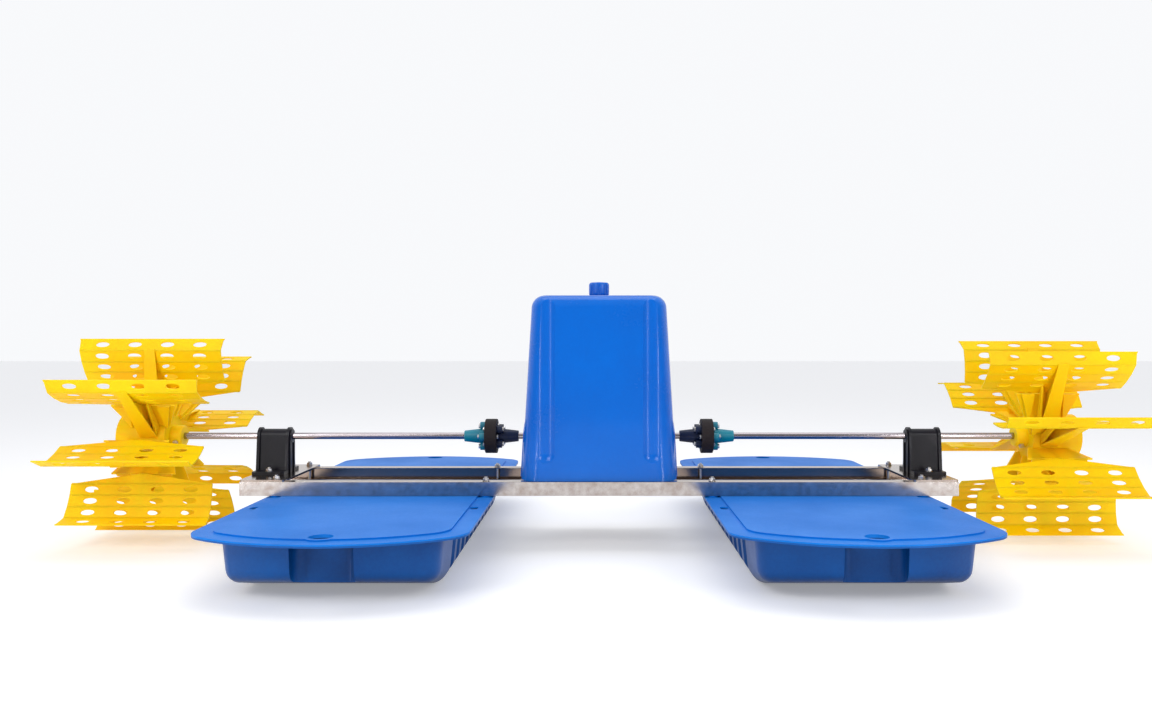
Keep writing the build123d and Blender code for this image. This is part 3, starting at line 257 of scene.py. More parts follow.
class SurfaceGroups:
    """The shared shader groups: mottle, moulding grain, edge wear and drawn lines."""

    def __init__(self) -> None:
        """Builds the four groups once."""
        self.mottle = self._mottle()
        self.grain = self._grain()
        self.wear = self._wear()
        self.drawn = self._drawn()

    @staticmethod
    def _mottle() -> bpy.types.NodeTree:
        """Broad cloudy variation with a little fine speckle.

        Returns:
            The group's tree.
        """
        group = new_group(
            "Mottle",
            "ShaderNodeTree",
            [("Scale", "NodeSocketFloat", 5.0)],
            [("Mask", "NodeSocketFloat")],
        )
        source = group.add("NodeGroupInput")
        place = group.add("ShaderNodeTexCoord")
        broad = group.add("ShaderNodeTexNoise")
        fine = group.add("ShaderNodeTexNoise")
        for noise, detail in ((broad, 3.0), (fine, 2.0)):
            group.put(noise.inputs["Vector"], place.outputs["Object"])
            noise.inputs["Detail"].default_value = detail
        group.put(broad.inputs["Scale"], source.outputs[0])
        group.put(fine.inputs["Scale"], group.math("MULTIPLY", source.outputs[0], 24.0))
        joined = group.math("MULTIPLY_ADD", fine.outputs[0], 0.25, broad.outputs[0])
        result = group.add("NodeGroupOutput")
        group.put(result.inputs[0], group.ramp(joined, ((0.42, 0.0), (0.85, 1.0))))
        return group.tree

    @staticmethod
    def _grain() -> bpy.types.NodeTree:
        """Fine bumps and shallow flow marks of a moulding, as a normal.

        Returns:
            The group's tree.
        """
        group = new_group(
            "Moulding Grain",
            "ShaderNodeTree",
            [("Scale", "NodeSocketFloat", 900.0), ("Relief", "NodeSocketFloat", 0.05)],
            [("Normal", "NodeSocketVector"), ("Height", "NodeSocketFloat")],
        )
        source = group.add("NodeGroupInput")
        place = group.add("ShaderNodeTexCoord")
        cells = group.add("ShaderNodeTexVoronoi")
        group.put(cells.inputs["Vector"], place.outputs["Object"])
        group.put(cells.inputs["Scale"], source.outputs[0])
        flow = group.add("ShaderNodeTexNoise")
        group.put(flow.inputs["Vector"], place.outputs["Object"])
        flow.inputs["Scale"].default_value = 22.0
        height = group.math("MULTIPLY_ADD", flow.outputs[0], 1.4, cells.outputs["Distance"])
        bump = group.add("ShaderNodeBump")
        bump.inputs["Distance"].default_value = 0.0008
        group.put(bump.inputs["Strength"], source.outputs[1])
        group.put(bump.inputs["Height"], height)
        result = group.add("NodeGroupOutput")
        group.put(result.inputs[0], bump.outputs[0])
        group.put(result.inputs[1], height)
        return group.tree

    @staticmethod
    def _wear() -> bpy.types.NodeTree:
        """Lighter rubbed edges, broken up by noise.

        Returns:
            The group's tree.
        """
        group = new_group(
            "Edge Wear",
            "ShaderNodeTree",
            [("Amount", "NodeSocketFloat", 0.4)],
            [("Mask", "NodeSocketFloat")],
        )
        source = group.add("NodeGroupInput")
        shape = group.add("ShaderNodeNewGeometry")
        place = group.add("ShaderNodeTexCoord")
        noise = group.add("ShaderNodeTexNoise")
        group.put(noise.inputs["Vector"], place.outputs["Object"])
        noise.inputs["Scale"].default_value = 60.0
        edge = group.ramp(shape.outputs["Pointiness"], ((0.52, 0.0), (0.60, 1.0)))
        broken = group.math("MULTIPLY", edge, noise.outputs[0])
        result = group.add("NodeGroupOutput")
        group.put(result.inputs[0], group.math("MULTIPLY", broken, source.outputs[0]))
        return group.tree

    @staticmethod
    def _drawn() -> bpy.types.NodeTree:
        """Long fine lines along one axis, with faint broad stains.

        Returns:
            The group's tree.
        """
        group = new_group(
            "Drawn Lines",
            "ShaderNodeTree",
            [
                ("Stretch", "NodeSocketVector", (1.0, 60.0, 60.0)),
                ("Scale", "NodeSocketFloat", 40.0),
                ("Relief", "NodeSocketFloat", 0.05),
            ],
            [
                ("Lines", "NodeSocketFloat"),
                ("Stain", "NodeSocketFloat"),
                ("Normal", "NodeSocketVector"),
            ],
        )
        source = group.add("NodeGroupInput")
        place = group.add("ShaderNodeTexCoord")
        mapping = group.add("ShaderNodeMapping")
        group.put(mapping.inputs["Vector"], place.outputs["Object"])
        group.put(mapping.inputs["Scale"], source.outputs[0])
        lines = group.add("ShaderNodeTexNoise")
        group.put(lines.inputs["Vector"], mapping.outputs[0])
        group.put(lines.inputs["Scale"], source.outputs[1])
        lines.inputs["Detail"].default_value = 4.0
        broad = group.add("ShaderNodeTexNoise")
        group.put(broad.inputs["Vector"], place.outputs["Object"])
        broad.inputs["Scale"].default_value = 7.0
        broad.inputs["Detail"].default_value = 5.0
        bump = group.add("ShaderNodeBump")
        bump.inputs["Distance"].default_value = 0.0003
        group.put(bump.inputs["Strength"], source.outputs[2])
        group.put(bump.inputs["Height"], lines.outputs[0])
        result = group.add("NodeGroupOutput")
        group.put(result.inputs[0], lines.outputs[0])
        group.put(result.inputs[1], group.ramp(broad.outputs[0], ((0.48, 0.0), (0.75, 1.0))))
        group.put(result.inputs[2], bump.outputs[0])
        return group.tree


class Materials:
    """Builds every material and hands it out by its slot."""

    MOULDED: tuple[MouldedFinish, ...] = (
        MouldedFinish(
            "Deck Azure",
            "deck_plastic",
            (0.004, 0.200, 0.72, 1.0),
            (0.002, 0.155, 0.60, 1.0),
            roughness=0.42,
            relief=0.10,
            wear=0.4,
            specular=0.14,
        ),
        MouldedFinish(
            "Hull Blue",
            "hull_plastic",
            (0.0, 0.115, 0.46, 1.0),
            (0.0, 0.065, 0.29, 1.0),
            roughness=0.32,
            relief=0.08,
            specular=0.2,
            # Painted shade darkens the hull's bow recess and its other hollows.
            painted_recess_shade=0.85,
        ),
        MouldedFinish(
            "Cover Blue",
            "cover_plastic",
            (0.0, 0.150, 0.66, 1.0),
            (0.0, 0.125, 0.58, 1.0),
            roughness=0.20,
            coat=0.3,
            relief=0.03,
            wear=0.1,
            specular=0.2,
        ),
        MouldedFinish(
            "Wheel Yellow",
            "wheel_plastic",
            (1.0, 0.70, 0.0, 1.0),
            (1.0, 0.56, 0.0, 1.0),
            roughness=0.42,
            relief=0.06,
            wear=0.05,
            specular=0.18,
            depth=0.3,
        ),
        MouldedFinish(
            "Block Black",
            "block_plastic",
            (0.008, 0.007, 0.012, 1.0),
            (0.004, 0.004, 0.007, 1.0),
            roughness=0.28,
            relief=0.10,
            wear=0.3,
            specular=0.22,
        ),
        MouldedFinish(
            "Bush Nylon",
            "bush_nylon",
            (0.03, 0.03, 0.035, 1.0),
            (0.015, 0.015, 0.018, 1.0),
            roughness=0.5,
        ),
        MouldedFinish(
            "Coupling Teal",
            "outer_hub_paint",
            (0.0, 0.23, 0.31, 1.0),
            (0.0, 0.14, 0.21, 1.0),
            roughness=0.34,
            grain=400.0,
            relief=0.2,
            wear=0.4,
        ),
        MouldedFinish(
            "Coupling Navy",
            "inner_hub_paint",
            (0.002, 0.012, 0.050, 1.0),
            (0.001, 0.005, 0.022, 1.0),
            roughness=0.34,
            grain=400.0,
            relief=0.2,
            wear=0.3,
            specular=0.3,
        ),
        MouldedFinish(
            "Coupling Rubber",
            "coupling_rubber",
            (0.016, 0.009, 0.009, 1.0),
            (0.009, 0.006, 0.006, 1.0),
            roughness=0.60,
            relief=0.3,
            wear=0.3,
            specular=0.25,
        ),
        MouldedFinish(
            "Case Iron",
            "case_iron",
            (0.10, 0.115, 0.13, 1.0),
            (0.06, 0.07, 0.08, 1.0),
            roughness=0.55,
            metallic=0.3,
            grain=350.0,
            relief=0.5,
        ),
        MouldedFinish(
            "Motor Alloy",
            "motor_alloy",
            (0.34, 0.36, 0.38, 1.0),
            (0.25, 0.27, 0.29, 1.0),
            roughness=0.42,
            metallic=0.8,
            grain=350.0,
            relief=0.35,
        ),
        MouldedFinish(
            "Core Iron",
            "core_iron",
            (0.11, 0.075, 0.05, 1.0),
            (0.07, 0.05, 0.035, 1.0),
            roughness=0.5,
            metallic=0.4,
        ),
        MouldedFinish(
            "Fan Plastic",
            "fan_plastic",
            (0.02, 0.02, 0.022, 1.0),
            (0.012, 0.012, 0.014, 1.0),
            roughness=0.45,
        ),
        MouldedFinish(
            "Cowl Paint",
            "cowl_paint",
            (0.06, 0.075, 0.09, 1.0),
            (0.04, 0.05, 0.06, 1.0),
            roughness=0.4,
        ),
        MouldedFinish(
            "Box Plastic",
            "box_plastic",
            (0.025, 0.025, 0.028, 1.0),
            (0.015, 0.015, 0.017, 1.0),
            roughness=0.5,
        ),
    )
    METALS: tuple[MetalFinish, ...] = (
        # Painted reflection: the frame steel's tan and brown tones stand in for the brown surroundings
        # that its faces reflect.
        MetalFinish(
            "Frame Stainless Painted Reflection",
            "frame_steel",
            (0.36, 0.285, 0.24, 1.0),
            (0.24, 0.18, 0.145, 1.0),
            roughness=0.15,
            stain_amount=0.35,
            wear=1.0,
        ),
        MetalFinish(
            "Bolt Stainless",
            "fastener_steel",
            (0.66, 0.65, 0.64, 1.0),
            (0.45, 0.44, 0.43, 1.0),
            roughness=0.28,
            along=(20.0, 20.0, 20.0),
        ),
        MetalFinish(
            "Shaft Stainless",
            "shaft_steel",
            (0.46, 0.42, 0.43, 1.0),
            (0.24, 0.20, 0.23, 1.0),
            roughness=0.12,
        ),
        MetalFinish(
            "Gear Bronze",
            "gear_bronze",
            (0.52, 0.30, 0.10, 1.0),
            (0.38, 0.21, 0.07, 1.0),
            roughness=0.3,
        ),
        MetalFinish(
            "Bearing Steel",
            "bearing_steel",
            (0.68, 0.68, 0.70, 1.0),
            (0.55, 0.55, 0.57, 1.0),
            roughness=0.15,
        ),
    )

    def __init__(self) -> None:
        """Builds the groups and then the materials."""
        self.groups = SurfaceGroups()
        self.by_slot: dict[str, bpy.types.Material] = {}
        for finish in self.MOULDED:
            self.by_slot[finish.slot] = self._moulded(finish)
        for metal in self.METALS:
            self.by_slot[metal.slot] = self._metal(metal)

    @staticmethod
    def _start(name: str) -> tuple[bpy.types.Material, Tree, bpy.types.Node]:
        """Starts a material with one Principled shader.

        Args:
            name: The material's name.

        Returns:
            The material, its tree and its shader node.
        """
        material = bpy.data.materials.new(name)
        material.use_nodes = True
        material.node_tree.nodes.clear()
        tree = Tree(material.node_tree)
        shader = tree.add("ShaderNodeBsdfPrincipled")
        output = tree.add("ShaderNodeOutputMaterial")
        tree.put(output.inputs[0], shader.outputs[0])
        return material, tree, shader

    def _group(self, tree: Tree, group: bpy.types.NodeTree, **values: object) -> bpy.types.Node:
        """Adds a shared group to a material.

        Args:
            tree: The material's tree.
            group: The group to use.
            values: Input values by name.

        Returns:
            The group node.
        """
        node = tree.add("ShaderNodeGroup", node_tree=group)
        for key, value in values.items():
            node.inputs[key].default_value = value
        return node

    def _moulded(self, finish: MouldedFinish) -> bpy.types.Material:
        """Builds a moulded or painted material.

        Args:
            finish: Its colours and surface.

        Returns:
            The material.
        """
        material, tree, shader = self._start(finish.name)
        mottle = self._group(tree, self.groups.mottle, Scale=finish.mottle)
        grain = self._group(tree, self.groups.grain, Scale=finish.grain, Relief=finish.relief)
        wear = self._group(tree, self.groups.wear, Amount=finish.wear)
        tone = tree.mix(mottle.outputs[0], finish.light, finish.dark)
        # Painted shade: ambient occlusion pulls the base colour towards a deep tone in recesses and
        # creases.
        if finish.painted_recess_shade:
            recess_occlusion = tree.add("ShaderNodeAmbientOcclusion")
            recess_occlusion.inputs["Distance"].default_value = 0.16
            share = tree.math("SUBTRACT", 1.0, recess_occlusion.outputs["AO"])
            painted_shade_colour = tuple(0.12 * c for c in finish.dark[:3]) + (1.0,)
            share = tree.math("MULTIPLY", share, finish.painted_recess_shade, 0.0)
            tone = tree.mix(share, tone, painted_shade_colour)
        pale = tuple(0.7 * c + 0.3 for c in finish.light[:3]) + (1.0,)
        tree.put(shader.inputs["Base Color"], tree.mix(wear.outputs[0], tone, pale))
        rough = tree.math("MULTIPLY_ADD", mottle.outputs[0], 0.10, finish.roughness)
        tree.put(shader.inputs["Roughness"], rough)
        shader.inputs["Metallic"].default_value = finish.metallic
        shader.inputs["Coat Weight"].default_value = finish.coat
        shader.inputs["Coat Roughness"].default_value = 0.06
        shader.inputs["Specular IOR Level"].default_value = finish.specular
        shader.inputs["Subsurface Weight"].default_value = finish.depth
        shader.inputs["Subsurface Radius"].default_value = (1.0, 0.35, 0.02)
        shader.inputs["Subsurface Scale"].default_value = 0.015
        tree.put(shader.inputs["Normal"], grain.outputs[0])
        material.diffuse_color = finish.light
        return material

    def _metal(self, metal: MetalFinish) -> bpy.types.Material:
        """Builds a drawn or rolled metal.

        Args:
            metal: Its colours and surface.

        Returns:
            The material.
        """
        material, tree, shader = self._start(metal.name)
        drawn = self._group(
            tree,
            self.groups.drawn,
            Stretch=metal.along,
            Scale=metal.lines,
            Relief=metal.relief,
        )
        wear = self._group(tree, self.groups.wear, Amount=metal.wear)
        tone = tree.mix(drawn.outputs[0], metal.dark, metal.light)
        share = tree.math("MULTIPLY", drawn.outputs[1], metal.stain_amount)
        stained = tree.mix(share, tone, metal.stain)
        bright = (0.85, 0.85, 0.86, 1.0)
        tree.put(shader.inputs["Base Color"], tree.mix(wear.outputs[0], stained, bright))
        rough = tree.math("MULTIPLY_ADD", drawn.outputs[0], 0.16, metal.roughness - 0.06)
        tree.put(shader.inputs["Roughness"], rough)
        shader.inputs["Metallic"].default_value = 1.0
        tree.put(shader.inputs["Normal"], drawn.outputs[2])
        material.diffuse_color = metal.light
        return material


@dataclass
class Shell:
    """Vertices and faces of a piece while it is being built, in millimetres."""

    points: list[Point] = field(default_factory=list)
    faces: list[list[int]] = field(default_factory=list)

    def add(self, points: Iterable[Point], faces: Iterable[Sequence[int]]) -> None:
        """Adds points and the faces between them.

        Args:
            points: The new points.
            faces: Faces that count from the first new point.
        """
        start = len(self.points)
        self.points.extend(points)
        self.faces.extend([start + index for index in face] for face in faces)

    def loft(self, rings: Sequence[Sequence[Point]], closed: bool = True) -> None:
        """Joins rings of equal length into a skin, with a face over each end.

        Args:
            rings: The rings, in order.
            closed: Whether the two end rings get faces.
        """
        size = len(rings[0])
        points = [point for ring in rings for point in ring]
        faces = []
        for level in range(len(rings) - 1):
            for step in range(size):
                after = (step + 1) % size
                low, high = level * size, (level + 1) * size
                faces.append((low + step, low + after, high + after, high + step))
        if closed:
            faces.append(tuple(reversed(range(size))))
            faces.append(tuple(range((len(rings) - 1) * size, len(rings) * size)))
        self.add(points, faces)

    def lathe(
        self,
        profile: Sequence[Pair],
        axis: str = "X",
        steps: int = 48,
        closed: bool = True,
    ) -> None:
        """Turns a profile of (along, radius) pairs round an axis.

        Args:
            profile: The profile's points.
            axis: X or Z.
            steps: Number of flats round the axis.
            closed: Whether the ends get faces.
        """
        rings = []
        for along, radius in profile:
            ring = []
            for step in range(steps):
                angle = 2 * math.pi * step / steps
                first, second = radius * math.cos(angle), radius * math.sin(angle)
                ring.append((along, first, second) if axis == "X" else (first, second, along))
            rings.append(ring)
        self.loft(rings, closed)

    def mesh(self, name: str, scale: float = MM, merge: float = 2e-6) -> bpy.types.Mesh:
        """Makes a mesh with its faces turned outwards.

        Args:
            name: The mesh's name.
            scale: Metres per unit.
            merge: Points nearer than this, after scaling, become one.

        Returns:
            The mesh.
        """
        mesh = bpy.data.meshes.new(name)
        mesh.from_pydata([tuple(scale * c for c in point) for point in self.points], [], self.faces)
        edit = bmesh.new()
        edit.from_mesh(mesh)
        bmesh.ops.remove_doubles(edit, verts=edit.verts, dist=merge)
        bmesh.ops.recalc_face_normals(edit, faces=edit.faces)
        edit.to_mesh(mesh)
        edit.free()
        return mesh


class Workshop:
    """Turns meshes into finished objects: bevels, smoothing, placing and riding."""

    def __init__(self, materials: Materials) -> None:
        """Keeps the materials.

        Args:
            materials: The shared materials.
        """
        self.materials = materials

    @staticmethod
    def link(name: str, mesh: bpy.types.Mesh) -> bpy.types.Object:
        """Puts a mesh into the scene.

        Args:
            name: The object's name.
            mesh: Its mesh.

        Returns:
            The object.
        """
        piece = bpy.data.objects.new(name, mesh)
        bpy.context.scene.collection.objects.link(piece)
        return piece

    @staticmethod
    def soften(
        piece: bpy.types.Object,
        width: float,
        segments: int = 2,
        angle: float = 32.0,
        weld: bool = False,
    ) -> None:
        """Rounds a piece's edges and evens its shading with modifiers.

        Args:
            piece: The object.
            width: Rounding in metres.
            segments: Number of strips in the rounding.
            angle: Edges sharper than this, in degrees, are rounded.
            weld: Whether split vertices are joined first.
        """
        if weld:
            join = piece.modifiers.new("Weld", "WELD")
            join.merge_threshold = 1e-5
        bevel = piece.modifiers.new("Bevel", "BEVEL")
        bevel.width = width
        bevel.segments = segments
        bevel.limit_method = "ANGLE"
        bevel.angle_limit = math.radians(angle)
        bevel.use_clamp_overlap = True
        even = piece.modifiers.new("Normals", "WEIGHTED_NORMAL")
        even.keep_sharp = True
        for polygon in piece.data.polygons:
            polygon.use_smooth = True

    @staticmethod
    def bake(piece: bpy.types.Object) -> bpy.types.Object:
        """Applies a piece's modifiers by making a new mesh from what they give.

        Args:
            piece: The object.

        Returns:
            The same object, without modifiers.
        """
        graph = bpy.context.evaluated_depsgraph_get()
        mesh = bpy.data.meshes.new_from_object(piece.evaluated_get(graph))
        piece.modifiers.clear()
        piece.data = mesh
        return piece

    def finish(
        self,
        piece: bpy.types.Object,
        slot: str,
        body: Body,
        nodes: Sequence[str] = (),
    ) -> bpy.types.Object:
        """Gives a piece its material, its body and the nodes that it stands for.

        Args:
            piece: The object.
            slot: Material slot of the record.
            body: The body that it rides on.
            nodes: Solids that it replaces.

        Returns:
            The same object.
        """
        piece.data.materials.clear()
        piece.data.materials.append(self.materials.by_slot[slot])
        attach(piece, body.value)
        if nodes:
            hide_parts(*nodes)
        return piece


class Repeater:
    """Geometry Nodes groups that repeat a part round an axis or over points."""

    def __init__(self) -> None:
        """Builds the two groups."""
        self.radial = self._radial()
        self.scatter = self._scatter()

    @staticmethod
    def _close(group: Tree, geometry: bpy.types.NodeSocket, source: bpy.types.Node) -> None:
        """Ends a group in Realize Instances and Set Material.

        Args:
            group: The group.
            geometry: The instances.
            source: The group's input node.
        """
        real = group.add("GeometryNodeRealizeInstances")
        group.put(real.inputs[0], geometry)
        paint = group.add("GeometryNodeSetMaterial")
        group.put(paint.inputs["Geometry"], real.outputs[0])
        group.put(paint.inputs["Material"], source.outputs["Material"])
        result = group.add("NodeGroupOutput")
        group.put(result.inputs[0], paint.outputs[0])

    def _radial(self) -> bpy.types.NodeTree:
        """Repeats the incoming mesh round the X axis.

        Returns:
            The group's tree.
        """
        group = new_group(
            "Radial Repeat",
            "GeometryNodeTree",
            [
                ("Geometry", "NodeSocketGeometry", None),
                ("Count", "NodeSocketInt", 8),
                ("Material", "NodeSocketMaterial", None),
            ],
            [("Geometry", "NodeSocketGeometry")],
        )
        source = group.add("NodeGroupInput")
        points = group.add("GeometryNodePoints")
        group.put(points.inputs["Count"], source.outputs["Count"])
        index = group.add("GeometryNodeInputIndex")
        share = group.math("DIVIDE", index.outputs[0], source.outputs["Count"])
        turn = group.add("ShaderNodeCombineXYZ")
        group.put(turn.inputs["X"], group.math("MULTIPLY", share, 2 * math.pi))
        spread = group.add("GeometryNodeInstanceOnPoints")
        group.put(spread.inputs["Points"], points.outputs[0])
        group.put(spread.inputs["Instance"], source.outputs["Geometry"])
        group.put(spread.inputs["Rotation"], turn.outputs[0])
        self._close(group, spread.outputs[0], source)
        return group.tree

    def _scatter(self) -> bpy.types.NodeTree:
        """Puts one object on every point, each turned by its own chance angle.

        Returns:
            The group's tree.
        """
        group = new_group(
            "Bolt Places",
            "GeometryNodeTree",
            [
                ("Geometry", "NodeSocketGeometry", None),
                ("Part", "NodeSocketObject", None),
                ("Seed", "NodeSocketInt", 3),
                ("Material", "NodeSocketMaterial", None),
            ],
            [("Geometry", "NodeSocketGeometry")],
        )
        source = group.add("NodeGroupInput")
        part = group.add("GeometryNodeObjectInfo")
        group.put(part.inputs["Object"], source.outputs["Part"])
        chance = group.add("FunctionNodeRandomValue", data_type="FLOAT")
        chance.inputs[2].default_value = 0.0
        chance.inputs[3].default_value = math.pi / 3
        group.put(chance.inputs["Seed"], source.outputs["Seed"])
        turn = group.add("ShaderNodeCombineXYZ")
        group.put(turn.inputs["Z"], chance.outputs[1])
        spread = group.add("GeometryNodeInstanceOnPoints")
        group.put(spread.inputs["Points"], source.outputs["Geometry"])
        group.put(spread.inputs["Instance"], part.outputs["Geometry"])
        group.put(spread.inputs["Rotation"], turn.outputs[0])
        self._close(group, spread.outputs[0], source)
        return group.tree

    @staticmethod
    def apply(
        piece: bpy.types.Object, group: bpy.types.NodeTree, **values: object
    ) -> bpy.types.Object:
        """Runs a group on a piece and keeps only its result.

        Args:
            piece: The object.
            group: The group to run.
            values: Inputs by name.

        Returns:
            The same object with the repeated mesh.
        """
        modifier = piece.modifiers.new("Repeat", "NODES")
        modifier.node_group = group
        keys = {
            item.name: item.identifier
            for item in group.interface.items_tree
            if item.item_type == "SOCKET" and item.in_out == "INPUT"
        }
        for name, value in values.items():
            modifier[keys[name]] = value
        piece.update_tag()
        bpy.context.view_layer.update()
        return Workshop.bake(piece)


class BladeProfile:
    """The folded line of a blade, measured along its sheet from the lip inwards."""

    def __init__(self, sizes: WheelSizes) -> None:
        """Works out the corner points.

        Args:
            sizes: The wheel's sizes.
        """
        self.sizes = sizes
        radius, offset = sizes.radius - sizes.sheet / 2, 0.0
        self.corners: list[Pair] = [(radius, offset)]
        self.runs: list[float] = [0.0]
        lengths = sizes.bands + (sizes.tongue,)
        leans = sizes.leans + sizes.leans[-1:]
        for length, lean in zip(lengths, leans):
            radius -= length * math.cos(math.radians(lean))
            offset += length * math.sin(math.radians(lean))
            self.corners.append((radius, offset))
            self.runs.append(self.runs[-1] + length)

    def _straight(self, run: float) -> Pair:
        """Gives a place on the folded line with sharp corners.

        Args:
            run: Distance along the sheet.

        Returns:
            Radius and offset.
        """
        for index in range(len(self.runs) - 1):
            if run <= self.runs[index + 1] or index == len(self.runs) - 2:
                span = self.runs[index + 1] - self.runs[index]
                share = (run - self.runs[index]) / span
                (r1, n1), (r2, n2) = self.corners[index], self.corners[index + 1]
                return r1 + (r2 - r1) * share, n1 + (n2 - n1) * share
        return self.corners[-1]

    def at(self, run: float) -> Pair:
        """Gives a place on the line with its folds rounded.

        Args:
            run: Distance along the sheet.

        Returns:
            Radius and offset.
        """
        reach = self.sizes.fold
        before = self._straight(max(0.0, run - reach))
        after = self._straight(min(self.runs[-1], run + reach))
        here = self._straight(run)
        inner = any(abs(run - fold) < reach for fold in self.runs[1:-1])
        share = 0.5 if inner else 0.0
        return (
            here[0] * (1 - share) + (before[0] + after[0]) / 2 * share,
            here[1] * (1 - share) + (before[1] + after[1]) / 2 * share,
        )


class PaddleWheel:
    """Builds one paddle wheel: perforated blades, T arms, necks and the ribbed drum."""

    def __init__(self, workshop: Workshop, repeater: Repeater, sizes: WheelSizes) -> None:
        """Keeps the tools and sizes.

        Args:
            workshop: Finishing tools.
            repeater: Geometry Nodes groups.
            sizes: The wheel's sizes.
        """
        self.workshop = workshop
        self.repeater = repeater
        self.sizes = sizes
        self.profile = BladeProfile(sizes)

    def _edge(self, run: float) -> float:
        """Half of the blade's width at a distance along the sheet.

        Args:
            run: Distance along the sheet.

        Returns:
            Half width in millimetres.
        """
        sizes = self.sizes
        flare = sizes.lip_flare
        lip_run = 2 * flare
        corner_run = self.profile.runs[-2]
        if run < lip_run:
            return sizes.half_width + flare * (1 - run / lip_run)
        if run <= corner_run:
            return sizes.half_width - flare * (run - lip_run) / (corner_run - lip_run)
        share = (run - corner_run) / sizes.tongue
        return max(1.0, (sizes.half_width - flare) * (1 - share))

    def _rows(self) -> list[tuple[float, bool]]:
        """Lists the rows of the sheet.

        Returns:
            Pairs of distance along the sheet and whether a hole zone starts there.
        """
        rows: list[tuple[float, bool]] = []
        for index, length in enumerate(self.sizes.bands):
            start = self.profile.runs[index]
            margin = (length - self.sizes.hole_zone) / 2
            rows.append((start, False))
            rows.append((start + min(self.sizes.fold, margin * 0.6), False))
            rows.append((start + margin, True))
            rows.append((start + length - margin, False))
            rows.append((start + length - min(self.sizes.fold, margin * 0.6), False))
        corner = self.profile.runs[-2]
        for share in (0.0, 0.12, 0.5, 1.0):
            rows.append((corner + share * self.sizes.tongue, False))
        return rows

    def _place(self, across: float, run: float) -> Point:
        """Turns sheet coordinates into a place in the wheel's own frame.

        Args:
            across: Share of the half width, from -1 to 1, or millimetres within the holes.
            run: Distance along the sheet.

        Returns:
            The place.
        """
        radius, offset = self.profile.at(run)
        return across, -offset, radius

    def sheet(self) -> bpy.types.Mesh:
        """Builds one blade's sheet with its oval holes.

        Returns:
            The mesh, one face thick.
        """
        sizes, shell = self.sizes, Shell()
        halves = 4
        inner = [
            (column - 1.5) * sizes.hole_pitch + (step - halves) * sizes.hole_pitch / (2 * halves)
            for column in range(4)
            for step in range(2 * halves)
        ] + [2 * sizes.hole_pitch]
        rows = self._rows()

        def line(run: float) -> list[float]:
            edge = self._edge(run)
            keep = min(1.0, (edge - 4) / (2 * sizes.hole_pitch))
            return [-edge] + [across * keep for across in inner] + [edge]

        for (run, zone), (after, _) in zip(rows, rows[1:]):
            low, high = line(run), line(after)
            spans = range(len(low) - 1)
            if zone:
                spans = (0, len(low) - 2)
                self._hole_band(shell, run, after, (low[0], low[-1]), (high[0], high[-1]))
                continue
            for index in spans:
                shell.add(
                    [
                        self._place(low[index], run),
                        self._place(low[index + 1], run),
                        self._place(high[index + 1], after),
                        self._place(high[index], after),
                    ],
                    [(0, 1, 2, 3)],
                )
        return shell.mesh("blade_sheet", 1.0, 0.01)

    def _hole_band(
        self, shell: Shell, start: float, end: float, low_edges: Pair, high_edges: Pair
    ) -> None:
        """Adds a band's four cells, each with an oval hole, and its two side strips.

        Args:
            shell: The mesh being built.
            start: Where the zone starts along the sheet.
            end: Where it ends.
            low_edges: The sheet's two edges at the start.
            high_edges: The same at the end.
        """
        sizes = self.sizes
        half_u, half_v = sizes.hole_pitch / 2, (end - start) / 2
        middle = (start + end) / 2
        sides = 4
        for column in range(4):
            centre = (column - 1.5) * sizes.hole_pitch
            ring = [(-1 + 2 * step / 8, -1.0) for step in range(8)]
            ring += [(1.0, -1 + 2 * step / sides) for step in range(sides)]
            ring += [(1 - 2 * step / 8, 1.0) for step in range(8)]
            ring += [(-1.0, 1 - 2 * step / sides) for step in range(sides)]
            outer = [self._place(centre + u * half_u, middle + v * half_v) for u, v in ring]
            oval = []
            for u, v in ring:
                angle = math.atan2(v, u)
                oval.append(
                    self._place(
                        centre + sizes.hole[0] / 2 * math.cos(angle),
                        middle + sizes.hole[1] / 2 * math.sin(angle),
                    )
                )
            count = len(ring)
            shell.add(
                outer + oval,
                [
                    (step, (step + 1) % count, count + (step + 1) % count, count + step)
                    for step in range(count)
                ],
            )
        for side in (0, 1):
            inner = (-2 if side == 0 else 2) * sizes.hole_pitch
            for step in range(sides):
                a, b = step / sides, (step + 1) / sides
                edge_a = low_edges[side] * (1 - a) + high_edges[side] * a
                edge_b = low_edges[side] * (1 - b) + high_edges[side] * b
                run_a, run_b = start + (end - start) * a, start + (end - start) * b
                shell.add(
                    [
                        self._place(edge_a, run_a),
                        self._place(inner, run_a),
                        self._place(inner, run_b),
                        self._place(edge_b, run_b),
                    ],
                    [(0, 1, 2, 3)],
                )

    def _bar(
        self,
        shell: Shell,
        outer: Pair,
        inner: Pair,
        widths: Pair,
        heights: Pair,
        centres: Pair = (0.0, 0.0),
    ) -> None:
        """Adds a tapered bar between two profile places.

        Args:
            shell: The mesh being built.
            outer: Radius and offset of the outer end.
            inner: The same of the inner end.
            widths: Its widths there.
            heights: Its thickness there, towards the blade's back.
            centres: Its middle across the wheel there.
        """
        rings = []
        (r1, n1), (r2, n2) = outer, inner
        run = math.dist(outer, inner)
        up = ((n2 - n1) / run, -(r2 - r1) / run)
        for (radius, offset), width, height, centre in zip((outer, inner), widths, heights, centres):
            back = (radius + up[0] * height, offset + up[1] * height)
            rings.append(
                [
                    (centre - width / 2, -offset, radius),
                    (centre + width / 2, -offset, radius),
                    (centre + width / 2, -back[1], back[0]),
                    (centre - width / 2, -back[1], back[0]),
                ]
            )
        shell.loft(rings)

